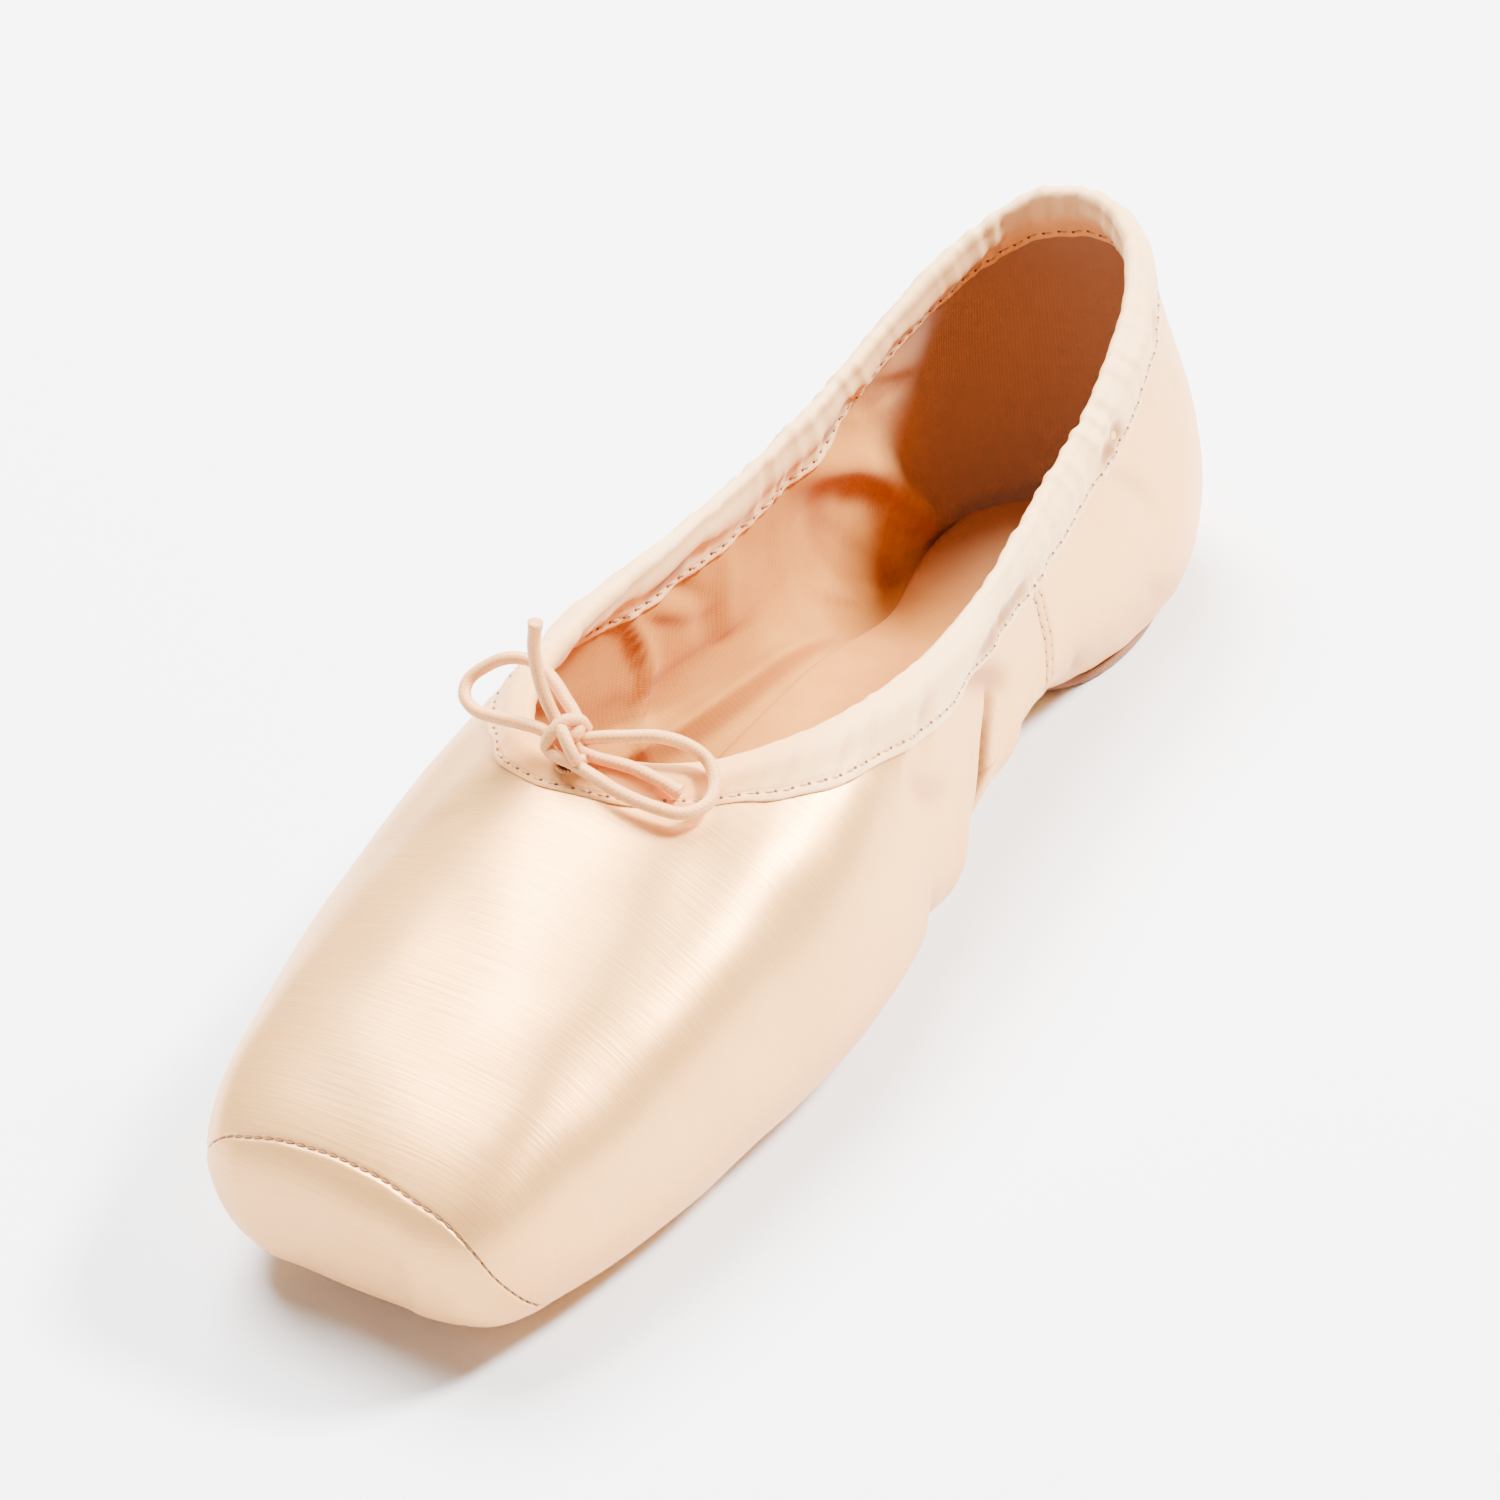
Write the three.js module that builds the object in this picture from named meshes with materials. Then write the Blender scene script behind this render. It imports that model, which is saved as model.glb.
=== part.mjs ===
// Ballet pointe shoe on a split leather sole, standing empty and unbent.
// Millimetres, +Z up, toe towards -Y. The origin is on the floor under the middle of the shoe.
// The shoe has no left or right: every section is mirrored about the plane x = 0.
import * as THREE from "three";

// Driving dimensions of the shoe
const LENGTH = 236; // platform to the back of the heel tape
const BALL_WIDTH = 85; // unit of the sections' widths; the wings of the box come to 82 mm
const HEEL_HEIGHT = 68; // floor to the collar at the back
const OUTSOLE = 2.0; // leather of both outsoles
const INSOLE = 2.0;
const GAP = 0.3; // clearance between pieces that touch on the real shoe
const TOE_SPRING = 4.0; // lift of the sole at the platform
const ARCH_LIFT = 9.0; // lift of the waist between the two outsoles

// Wall of the upper: satin and lining, stiffened with layers of paste in the box
const BOX_WALL = 3.0;
const QUARTER_WALL = 1.6;
const EDGE_WALL = 1.0;
const EDGE_THINNING = 0.45; // share of the way from the collar to the girth over which it thickens

// Drawstring casing round the collar, heel tape and drawstring
const CASING_TAPE = 0.8;
const CASING_FOLD = 1.2; // rise of the fold over the collar's edge
const CASING_DEPTH = 9.5;
const TAPE_WIDTH = 12;
const TAPE_THICKNESS = 0.6;
const TAPE_GAP = 0.5; // it bridges the back seam of the quarters
const CORD_DIAMETER = 2.0;

// One row for each upright section of the last, from the middle of the toe (first) round one side to the
// middle of the heel (last). Y is in % of the length from the platform, X in % of the ball width from the
// centreline, Z in % of the heel height from the floor. Collar is the upper's top edge, girth its widest
// line. Corner is the height at which the line of the vamp would meet the upright through the girth line.
// Crown and flank say how far the section's curve is drawn towards that corner from above and from below,
// and weight how tightly it turns there. Sole is the edge of the flat tread and seat the line to which
// the satin is lasted under it.
const SECTIONS = table(
  "collarY collarX collarZ girthY girthX girthZ cornerZ crown flank weight soleY soleX seatY",
  [
    [30.0, 0.0, 79.5, 0.0, 0.0, 27, 50, 0.9, 0.8, 1.7, 3.6, 0.0, 9.0],
    [30.4, 7.0, 79, 0.0, 11.0, 27, 50, 0.9, 0.8, 1.7, 3.6, 7.5, 9.1],
    [31.6, 13.8, 77.5, 0.1, 21.5, 27, 49, 0.88, 0.8, 1.6, 4.0, 14.5, 9.8],
    [34.0, 20.0, 75.5, 1.8, 30.5, 27, 49, 0.85, 0.75, 1.35, 5.8, 21.0, 11.5],
    [36.8, 24.6, 73.8, 7.0, 37.0, 27, 50, 0.82, 0.7, 1.2, 9.5, 26.0, 15.5],
    [40.0, 28.2, 72.2, 15.5, 42.5, 26, 54, 0.8, 0.66, 1.1, 17.0, 30.5, 21.5],
    [43.7, 30.8, 70.6, 25.0, 46.5, 25, 57, 0.78, 0.62, 1.0, 26.0, 33.0, 29.0],
    [48.0, 32.6, 69.1, 35.0, 48.3, 25, 57, 0.68, 0.6, 1.0, 35.5, 33.0, 37.0],
    [54.5, 33.5, 67.8, 47.0, 42.5, 26, 55, 0.58, 0.58, 1.0, 47.0, 26.0, 48.0],
    [63.0, 32.0, 68.3, 60.0, 35.5, 29, 55, 0.55, 0.56, 1.0, 60.0, 17.5, 60.0],
    [72.5, 29.0, 72.3, 73.0, 33.8, 31, 57, 0.52, 0.56, 1.0, 73.0, 18.5, 73.0],
    [81.5, 26.5, 79.5, 84.0, 34.5, 31, 60, 0.5, 0.58, 1.0, 83.5, 25.0, 82.5],
    [89.8, 21.0, 89.5, 92.5, 30.0, 31, 65, 0.5, 0.58, 1.0, 91.0, 22.5, 88.0],
    [94.8, 11.8, 97.5, 98.0, 16.5, 31, 69, 0.5, 0.58, 1.0, 95.0, 12.5, 91.0],
    [96.2, 0.0, 100, 99.5, 0.0, 31, 70, 0.5, 0.58, 1.0, 96.0, 0.0, 91.8],
  ]
);
const SECTION_COUNT = SECTIONS.length;
const LAST_SECTION = SECTION_COUNT - 1;

// Outsoles, and the openings that they close under the upper: ends in % of the length, half width in % of
// the ball width, and taper, which makes the front end narrower than the back one
const FRONT_SOLE = { from: 4.5, to: 51.5, half: 32.5, taper: 0.16, squareness: 0.8 };
const HEEL_SOLE = { from: 70.0, to: 95.0, half: 28.5, taper: -0.04, squareness: 0.85 };
const OPENING_MARGIN = 8; // how far an outsole laps over the satin round its opening

const COLUMNS_PER_SECTION = 3;
const HALF_COLUMNS = COLUMNS_PER_SECTION * LAST_SECTION;
const TOP_ROWS = 7; // lower edge of the casing to the girth line
const SIDE_ROWS = 5; // girth line to the edge of the tread
const TREAD_ROWS = 2; // edge of the tread to the seat line

function table(names, rows) {
  const columns = names.split(" ");
  return rows.map((row) => Object.fromEntries(columns.map((name, i) => [name, row[i]])));
}

const smoothstep = (from, to, x) => {
  const t = Math.min(1, Math.max(0, (x - from) / (to - from)));
  return t * t * (3 - 2 * t);
};
const along = (percent) => (percent / 100) * LENGTH;
const across = (percent) => (percent / 100) * BALL_WIDTH;
const upward = (percent) => (percent / 100) * HEEL_HEIGHT;

// Second derivatives of a smooth curve through the rows of one column. A column of X values changes sign
// at the centreline, so it is straight there, and every other column is level there.
function bend(values, changesSign) {
  const n = values.length;
  const upper = new Array(n).fill(0);
  const right = new Array(n).fill(0);
  for (let i = 0; i < n; i++) {
    const atEnd = i === 0 || i === n - 1;
    if (atEnd && changesSign) continue;
    const before = i === 0 ? values[1] : values[i - 1];
    const after = i === n - 1 ? values[n - 2] : values[i + 1];
    const load = 6 * (before - 2 * values[i] + after);
    const below = atEnd ? 0 : 1;
    const lead = i === 0 ? 2 : i === n - 1 ? 0 : 1;
    const low = i === n - 1 ? 2 : below;
    const pivot = 4 - low * upper[Math.max(0, i - 1)];
    upper[i] = lead / pivot;
    right[i] = (load - low * right[Math.max(0, i - 1)]) / pivot;
  }
  for (let i = n - 2; i >= 0; i--) right[i] -= upper[i] * right[i + 1];
  return right;
}

const CURVES = Object.fromEntries(
  Object.keys(SECTIONS[0]).map((name) => {
    const values = SECTIONS.map((row) => row[name]);
    return [name, { values, bends: bend(values, name.endsWith("X")) }];
  })
);

// The column's value at u, counted in sections from the toe
function valueAt(name, u) {
  const { values, bends } = CURVES[name];
  const i = Math.min(LAST_SECTION - 1, Math.max(0, Math.floor(u)));
  const b = u - i;
  const a = 1 - b;
  const curve = ((a ** 3 - a) * bends[i] + (b ** 3 - b) * bends[i + 1]) / 6;
  return a * values[i] + b * values[i + 1] + curve;
}

// Height of the upper's underside over the floor: flat at ball and heel, lifted at the toe and the waist
const SPRING_END = 19;
const WAIST = { from: 42, peak: 62, to: 78 };
function treadHeight(y) {
  const percent = (y / LENGTH) * 100;
  const toe = Math.max(0, 1 - percent / SPRING_END) ** 2;
  const waist =
    smoothstep(WAIST.from, WAIST.peak, percent) * (1 - smoothstep(WAIST.peak, WAIST.to, percent));
  return OUTSOLE + GAP + TOE_SPRING * toe + ARCH_LIFT * waist;
}

// Half width of an egg-shaped outline at y, and 0 beyond its ends
function eggHalfWidth(egg, y, inset = 0) {
  const middle = along((egg.from + egg.to) / 2);
  const reach = along((egg.to - egg.from) / 2) - inset;
  const c = (middle - y) / reach;
  if (Math.abs(c) >= 1) return 0;
  return (across(egg.half) - inset) * (1 - c * c) ** (egg.squareness / 2) * (1 - egg.taper * c);
}

function seatHalfWidth(y) {
  return Math.max(
    eggHalfWidth(FRONT_SOLE, y, OPENING_MARGIN),
    eggHalfWidth(HEEL_SOLE, y, OPENING_MARGIN)
  );
}

const point = (x, y, z) => new THREE.Vector3(x, y, z);

// A cubic that leaves `start` and `end` towards `corner`
function turn(start, corner, end, pullStart, pullEnd, weight, t) {
  const s = 1 - t;
  const parts = [s ** 3, 3 * s * s * t * weight, 3 * s * t * t * weight, t ** 3];
  const total = parts.reduce((sum, part) => sum + part, 0);
  const stops = [
    start,
    start.clone().lerp(corner, pullStart),
    end.clone().lerp(corner, pullEnd),
    end,
  ];
  return stops.reduce((sum, stop, i) => sum.addScaledVector(stop, parts[i] / total), point(0, 0, 0));
}

// The upper's outer face. u runs from 0 at the toe to LAST_SECTION at the heel and is negative on the left;
// t runs from 0 at the collar over 1 at the girth line and 2 at the edge of the tread to 3 at the seat line.
function outerFace(uSigned, t) {
  let side = uSigned < 0 ? -1 : 1;
  let u = Math.abs(uSigned);
  if (u > LAST_SECTION) {
    u = 2 * LAST_SECTION - u;
    side = -side;
  }
  const at = (name) => valueAt(name, u);
  const girthX = across(at("girthX"));
  const girthY = along(at("girthY"));
  const girth = point(girthX, girthY, upward(at("girthZ")));
  const soleX = across(at("soleX"));
  const soleY = along(at("soleY"));
  let p;
  if (t <= 1) {
    const collar = point(across(at("collarX")), along(at("collarY")), upward(at("collarZ")));
    const corner = point(girthX, girthY, upward(at("cornerZ")));
    p = turn(collar, corner, girth, at("crown"), at("flank"), at("weight"), t);
  } else if (t <= 2) {
    const tread = point(soleX, soleY, treadHeight(soleY));
    const corner = point(girthX, girthY, tread.z);
    p = turn(girth, corner, tread, at("flank"), at("flank"), 1, t - 1);
  } else {
    const seatY = along(at("seatY"));
    const y = THREE.MathUtils.lerp(soleY, seatY, t - 2);
    const x = THREE.MathUtils.lerp(soleX, seatHalfWidth(seatY), t - 2);
    p = point(x, y, treadHeight(y));
  }
  p.x *= side;
  return p;
}

// Unit vector out of the outer face
const STEP_U = 0.02;
const STEP_T = 0.01;
const DEPTH_STEP = 0.002;
function outward(u, t) {
  const span = t <= 1 ? [0, 1] : t <= 2 ? [1, 2] : [2, 3];
  const low = Math.max(span[0], t - STEP_T);
  const high = Math.min(span[1], t + STEP_T);
  const round = outerFace(u + STEP_U, t).sub(outerFace(u - STEP_U, t));
  const down = outerFace(u, high).sub(outerFace(u, low));
  return down.cross(round).normalize();
}

const BOX_END = { from: 24, to: 40 }; // where the stiffened box gives way to the soft quarter, in % of length
function wallAt(u, t) {
  const percent = (outerFace(u, t).y / LENGTH) * 100;
  const full = THREE.MathUtils.lerp(
    BOX_WALL,
    QUARTER_WALL,
    smoothstep(BOX_END.from, BOX_END.to, percent)
  );
  return THREE.MathUtils.lerp(EDGE_WALL, full, smoothstep(0, EDGE_THINNING, t));
}

const offsetFace = (u, t, distance) => outerFace(u, t).addScaledVector(outward(u, t), distance);
const innerFace = (u, t) => offsetFace(u, t, -wallAt(u, t));

// t at a depth below the collar's edge, measured square to that edge
function depthToT(u, depth) {
  const edge = outerFace(u, 0);
  const tangent = outerFace(u + STEP_U, 0).sub(outerFace(u - STEP_U, 0)).normalize();
  let t = 0;
  while (t < 1 && outerFace(u, t).sub(edge).cross(tangent).length() < depth) t += DEPTH_STEP;
  return t;
}

// Collects triangles by the corners of each face and makes one closed mesh of them
class Skin {
  corners = [];
  quad(a, b, c, d) {
    this.triangle(a, b, c);
    this.triangle(a, c, d);
  }
  triangle(...abc) {
    for (const p of abc) this.corners.push(p.x, p.y - LENGTH / 2, p.z);
  }
  geometry() {
    return new THREE.BufferGeometry().setAttribute(
      "position",
      new THREE.Float32BufferAttribute(this.corners, 3)
    );
  }
}

// A closed solid from rings of equally many points, an even number where the solid ends in caps
function ringsToGeometry(rings, closed) {
  const skin = new Skin();
  const around = rings[0].length;
  const spans = closed ? rings.length : rings.length - 1;
  for (let j = 0; j < spans; j++) {
    const here = rings[j];
    const next = rings[(j + 1) % rings.length];
    for (let k = 0; k < around; k++) {
      const l = (k + 1) % around;
      skin.quad(here[k], here[l], next[l], next[k]);
    }
  }
  if (!closed) {
    const first = rings[0];
    const last = rings[rings.length - 1];
    for (let k = 0; k < around / 2 - 1; k++) {
      const l = around - 1 - k;
      skin.quad(first[l], first[l - 1], first[k + 1], first[k]);
      skin.quad(last[k], last[k + 1], last[l - 1], last[l]);
    }
  }
  return skin.geometry();
}

const columnU = (j) => (j <= HALF_COLUMNS ? j : j - 2 * HALF_COLUMNS) / COLUMNS_PER_SECTION;

// The rows of one column. The casing's two are among them, so that it lies on facets like its own.
function rowsOfColumn(u) {
  const edge = depthToT(u, CASING_DEPTH);
  const rows = [0, depthToT(u, CASING_DEPTH / 2)];
  for (let r = 0; r < TOP_ROWS; r++) rows.push(THREE.MathUtils.lerp(edge, 1, r / TOP_ROWS));
  for (let r = 0; r < SIDE_ROWS; r++) rows.push(1 + r / SIDE_ROWS);
  for (let r = 0; r <= TREAD_ROWS; r++) rows.push(2 + r / TREAD_ROWS);
  return rows;
}

function upperGeometry() {
  const count = 2 * HALF_COLUMNS;
  const outer = [];
  const inner = [];
  for (let j = 0; j < count; j++) {
    const u = columnU(j);
    outer.push(rowsOfColumn(u).map((t) => outerFace(u, t)));
    inner.push(rowsOfColumn(u).map((t) => innerFace(u, t)));
  }
  const lastRow = outer[0].length - 1;
  // Where the two sides meet along the bottom, the inner face ends on the centreline as well
  const joined = outer.map((column) => Math.abs(column[lastRow].x) < 1e-6);
  joined.forEach((isJoined, j) => {
    if (isJoined || j === 0 || j === HALF_COLUMNS) inner[j][lastRow].x = 0;
  });
  const skin = new Skin();
  for (let j = 0; j < count; j++) {
    const k = (j + 1) % count;
    for (let r = 0; r < lastRow; r++) {
      skin.quad(outer[j][r + 1], outer[k][r + 1], outer[k][r], outer[j][r]);
      skin.quad(inner[j][r], inner[k][r], inner[k][r + 1], inner[j][r + 1]);
    }
    skin.quad(outer[j][0], outer[k][0], inner[k][0], inner[j][0]);
    if (!(joined[j] && joined[k])) {
      skin.quad(outer[j][lastRow], inner[j][lastRow], inner[k][lastRow], outer[k][lastRow]);
    }
  }
  return skin.geometry();
}

// Folded tape over the collar's edge, drawn from the upper's own face
function casingGeometry() {
  const rings = [];
  for (let j = 0; j < 2 * HALF_COLUMNS; j++) {
    const u = columnU(j);
    const tHalf = depthToT(u, CASING_DEPTH / 2);
    const tFull = depthToT(u, CASING_DEPTH);
    const edge = outerFace(u, 0);
    const up = edge.clone().sub(outerFace(u, STEP_T)).normalize();
    const out = outward(u, 0);
    const over = (distance, rise) => edge.clone().addScaledVector(out, distance).addScaledVector(up, rise);
    const near = GAP;
    const far = GAP + CASING_TAPE;
    const inside = (t, distance) => offsetFace(u, t, -wallAt(u, t) - distance);
    rings.push([
      offsetFace(u, tFull, near),
      offsetFace(u, tHalf, near),
      over(near, GAP),
      over(-EDGE_WALL - near, GAP),
      inside(tHalf, near),
      inside(tFull, near),
      inside(tFull, far),
      inside(tHalf, far),
      over(-EDGE_WALL - far, 0),
      over(-EDGE_WALL / 2, GAP + CASING_FOLD),
      over(far, 0),
      offsetFace(u, tHalf, far),
      offsetFace(u, tFull, far),
    ]);
  }
  return ringsToGeometry(rings, true);
}

// Tape up the back of the heel, from below the casing to the heel outsole
const TAPE_ROWS = 16;
const TAPE_HALF_COLUMNS = 2;
const TAPE_BELOW_CASING = 1;
const TAPE_BOTTOM = 1.7; // as t of the outer face
function heelTapeGeometry() {
  const top = depthToT(LAST_SECTION, CASING_DEPTH + TAPE_BELOW_CASING);
  const rings = [];
  for (let r = 0; r <= TAPE_ROWS; r++) {
    const t = THREE.MathUtils.lerp(top, TAPE_BOTTOM, r / TAPE_ROWS);
    const near = [];
    const far = [];
    for (let k = -TAPE_HALF_COLUMNS; k <= TAPE_HALF_COLUMNS; k++) {
      const u = heelColumnAt((k / TAPE_HALF_COLUMNS) * (TAPE_WIDTH / 2), t);
      near.push(offsetFace(u, t, TAPE_GAP));
      far.push(offsetFace(u, t, TAPE_GAP + TAPE_THICKNESS));
    }
    rings.push([...far, ...near.reverse()]);
  }
  return ringsToGeometry(rings, false);
}

// The column that passes through x on the back of the heel, at that t
function heelColumnAt(x, t) {
  let low = 0;
  let high = 2;
  for (let i = 0; i < 30; i++) {
    const middle = (low + high) / 2;
    if (Math.abs(outerFace(LAST_SECTION - middle, t).x) < Math.abs(x)) low = middle;
    else high = middle;
  }
  return LAST_SECTION + (x > 0 ? -low : low);
}

// Angle of the i-th station round a half circle, whose first and last ones stand clear of the tips
const TIP_STEP = 0.35;
const stationAngle = (i, count) => (Math.PI * (i + TIP_STEP)) / (count + 2 * TIP_STEP);

// A leather outsole: an egg-shaped plate that follows the tread, with its lower edge bevelled
const SOLE_STATIONS = 28;
const BEVEL = 0.8;
function outsoleGeometry(egg) {
  const rings = [];
  for (let i = 0; i <= SOLE_STATIONS; i++) {
    const middle = along((egg.from + egg.to) / 2);
    const reach = along((egg.to - egg.from) / 2);
    const y = middle - reach * Math.cos(stationAngle(i, SOLE_STATIONS));
    const half = eggHalfWidth(egg, y);
    const top = treadHeight(y) - GAP;
    const shoulder = top - OUTSOLE + BEVEL;
    const bottom = top - OUTSOLE;
    const lower = half - BEVEL;
    rings.push([
      point(-half, y, top),
      point(half, y, top),
      point(half, y, shoulder),
      point(lower, y, bottom),
      point(-lower, y, bottom),
      point(-half, y, shoulder),
    ]);
  }
  return ringsToGeometry(rings, false);
}

// Insole board lying on the lasted satin, as wide as the flat of the tread
const INSOLE_STATIONS = 36;
const INSOLE_ENDS = { from: 5.5, to: 94.5 };
const INSOLE_MARGIN = 0.8;
const INSOLE_ENDING = 2.2; // the higher, the shorter its rounded ends
const INSOLE_GAP = 0.5; // it bridges the seams of the lasted satin
function insoleGeometry() {
  const rings = [];
  for (let i = 0; i <= INSOLE_STATIONS; i++) {
    const angle = stationAngle(i, INSOLE_STATIONS);
    const percent = THREE.MathUtils.lerp(INSOLE_ENDS.from, INSOLE_ENDS.to, (1 - Math.cos(angle)) / 2);
    const y = along(percent);
    const ending = Math.sqrt(Math.min(1, Math.sin(angle) * INSOLE_ENDING));
    const half = treadHalfWidth(y) * ending - INSOLE_MARGIN;
    const slope = (treadHeight(y + 1) - treadHeight(y - 1)) / 2;
    const bottom = treadHeight(y) + (wallAtTread(y) + INSOLE_GAP) * Math.hypot(1, slope);
    rings.push([
      point(-half, y, bottom),
      point(-half, y, bottom + INSOLE),
      point(half, y, bottom + INSOLE),
      point(half, y, bottom),
    ]);
  }
  return ringsToGeometry(rings, false);
}

// Half width of the flat tread at y
function treadHalfWidth(y) {
  let low = 0;
  let high = LAST_SECTION;
  for (let i = 0; i < 30; i++) {
    const middle = (low + high) / 2;
    if (along(valueAt("soleY", middle)) < y) low = middle;
    else high = middle;
  }
  return across(valueAt("soleX", low));
}

function wallAtTread(y) {
  const percent = (y / LENGTH) * 100;
  return THREE.MathUtils.lerp(BOX_WALL, QUARTER_WALL, smoothstep(BOX_END.from, BOX_END.to, percent));
}

// Bow of the drawstring. It leaves the casing under the knot at the middle of the throat.
const THROAT_TO_KNOT = point(0, -1.6, 3.3);
const KNOT_HALF_SIZES = point(3.4, 2.8, 2.4);
const KNOT = outerFace(0, 0).add(THROAT_TO_KNOT);
// Centre lines of the string from the knot, by hand: across, towards the heel and up from the knot's middle
const BOW = {
  drawstring_loop_left: [
    [-3.6, -0.9, 1.9],
    [-7.6, -1.1, 2.2],
    [-11.2, -1.2, 2.1],
    [-16.5, -1.0, 2.2],
    [-19.1, 0.4, 3.2],
    [-19.5, 2.4, 4.5],
    [-17.3, 4.6, 6.2],
    [-14.4, 6.0, 7.4],
    [-10.9, 6.8, 7.5],
    [-7.8, 6.4, 6.6],
    [-5.2, 5.4, 5.5],
    [-2.9, 4.2, 4.2],
    [-0.9, 3.1, 3.3],
    [0.6, 2.2, 2.6],
  ],
  drawstring_end_left: [
    [-2.7, 1.1, 2.8],
    [-3.8, 1.3, 4.8],
    [-5.0, 1.8, 8.2],
    [-5.6, 2.5, 13.7],
    [-4.7, 3.0, 18.4],
  ],
  drawstring_loop_right: [
    [2.8, -2.5, -1.4],
    [6.4, -3.0, -2.3],
    [10.3, -3.3, -3.4],
    [15.8, -2.5, -5.1],
    [19.6, -0.7, -6.3],
    [21.3, 2.9, -6.5],
    [20.4, 6.4, -5.5],
    [18.0, 8.4, -3.4],
    [15.2, 7.6, -0.9],
    [11.9, 5.6, 0.9],
    [7.7, 3.5, 1.1],
    [5.4, 2.6, 1.0],
    [3.5, 1.9, 0.9],
  ],
  drawstring_end_right: [
    [4.3, 0.1, -1.4],
    [7.0, 0.7, -1.8],
    [9.8, 1.2, -2.3],
    [14.3, 1.7, -3.8],
    [17.4, 1.9, -5.1],
  ],
};
const CORD_STEP = 2.4;
const CORD_ARC_SEGMENTS = 4; // half the number of sides
const KNOT_SEGMENTS = 12;

function cordGeometry(places) {
  const stops = places.map(([x, y, z]) => KNOT.clone().add(point(x, y - LENGTH / 2, z)));
  const path = new THREE.CatmullRomCurve3(stops, false, "centripetal");
  const section = new THREE.Shape().absarc(0, 0, CORD_DIAMETER / 2, 0, 2 * Math.PI);
  return new THREE.ExtrudeGeometry(section, {
    steps: Math.round(path.getLength() / CORD_STEP),
    extrudePath: path,
    curveSegments: CORD_ARC_SEGMENTS,
    bevelEnabled: false,
  });
}

function knotGeometry() {
  return new THREE.SphereGeometry(1, KNOT_SEGMENTS, KNOT_SEGMENTS / 2)
    .scale(...KNOT_HALF_SIZES)
    .translate(KNOT.x, KNOT.y - LENGTH / 2, KNOT.z);
}

const satin = new THREE.MeshStandardMaterial({ color: 0xf2cfb4, roughness: 0.38, metalness: 0 });
const tape = new THREE.MeshStandardMaterial({ color: 0xf7dfcf, roughness: 0.6, metalness: 0 });
const cotton = new THREE.MeshStandardMaterial({ color: 0xf3d9c3, roughness: 0.65, metalness: 0 });
const leather = new THREE.MeshStandardMaterial({ color: 0xc4815c, roughness: 0.7, metalness: 0 });
const board = new THREE.MeshStandardMaterial({ color: 0xd9a882, roughness: 0.85, metalness: 0 });

const shoe = new THREE.Group();
function add(name, geometry, material) {
  const mesh = new THREE.Mesh(geometry, material);
  mesh.name = name;
  shoe.add(mesh);
}

add("upper", upperGeometry(), satin);
add("drawstring_casing", casingGeometry(), tape);
add("heel_tape", heelTapeGeometry(), satin);
add("outsole_front", outsoleGeometry(FRONT_SOLE), leather);
add("outsole_heel", outsoleGeometry(HEEL_SOLE), leather);
add("insole", insoleGeometry(), board);
add("drawstring_knot", knotGeometry(), cotton);
for (const [name, places] of Object.entries(BOW)) add(name, cordGeometry(places), cotton);

export default shoe;
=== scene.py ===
"""Looks of a ballet pointe shoe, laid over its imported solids.

Metres, +Z up, toe towards -Y. The shoe stands on the floor at z = 0 and is mirrored about x = 0.
"""

import math

import bmesh
import bpy
import numpy as np
from mathutils import Matrix, Vector


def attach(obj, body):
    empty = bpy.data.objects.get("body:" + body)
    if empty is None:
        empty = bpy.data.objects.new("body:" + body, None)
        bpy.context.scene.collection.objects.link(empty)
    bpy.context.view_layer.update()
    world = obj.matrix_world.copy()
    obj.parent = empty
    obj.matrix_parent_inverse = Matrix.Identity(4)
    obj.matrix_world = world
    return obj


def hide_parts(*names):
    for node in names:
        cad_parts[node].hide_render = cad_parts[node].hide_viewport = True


bl_info = {
    "name": "Pointe Shoe",
    "version": (1, 0, 0),
    "blender": (4, 5, 0),
    "location": "3D View > Sidebar > Pointe Shoe",
    "description": "Satin pointe shoe with its lining, casing, seams, soles and bow",
    "category": "Object",
}

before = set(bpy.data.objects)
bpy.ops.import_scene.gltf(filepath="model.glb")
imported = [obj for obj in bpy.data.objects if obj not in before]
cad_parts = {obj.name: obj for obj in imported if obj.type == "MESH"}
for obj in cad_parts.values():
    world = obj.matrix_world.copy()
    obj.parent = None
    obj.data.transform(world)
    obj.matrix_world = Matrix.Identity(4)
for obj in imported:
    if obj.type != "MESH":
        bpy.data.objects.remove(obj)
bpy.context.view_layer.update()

# The last. Metres, and % of these sizes in the table.
LENGTH = 0.236
BALL_WIDTH = 0.085
HEEL_HEIGHT = 0.068
OUTSOLE = 0.002
INSOLE = 0.002
GAP = 0.0003
TOE_SPRING = 0.004
ARCH_LIFT = 0.009
BOX_WALL = 0.003
QUARTER_WALL = 0.0016
EDGE_WALL = 0.001
OPENING_MARGIN = 0.008
CASING_DEPTH = 0.0095
TAPE_WIDTH = 0.012
MM = 0.001
# The seams' stitches, the gaps between them, and the distance of either row from its seam
STITCH = 1.9 * MM
STITCH_GAP = 0.7 * MM
SEAM_ROW = 1.0 * MM

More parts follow.
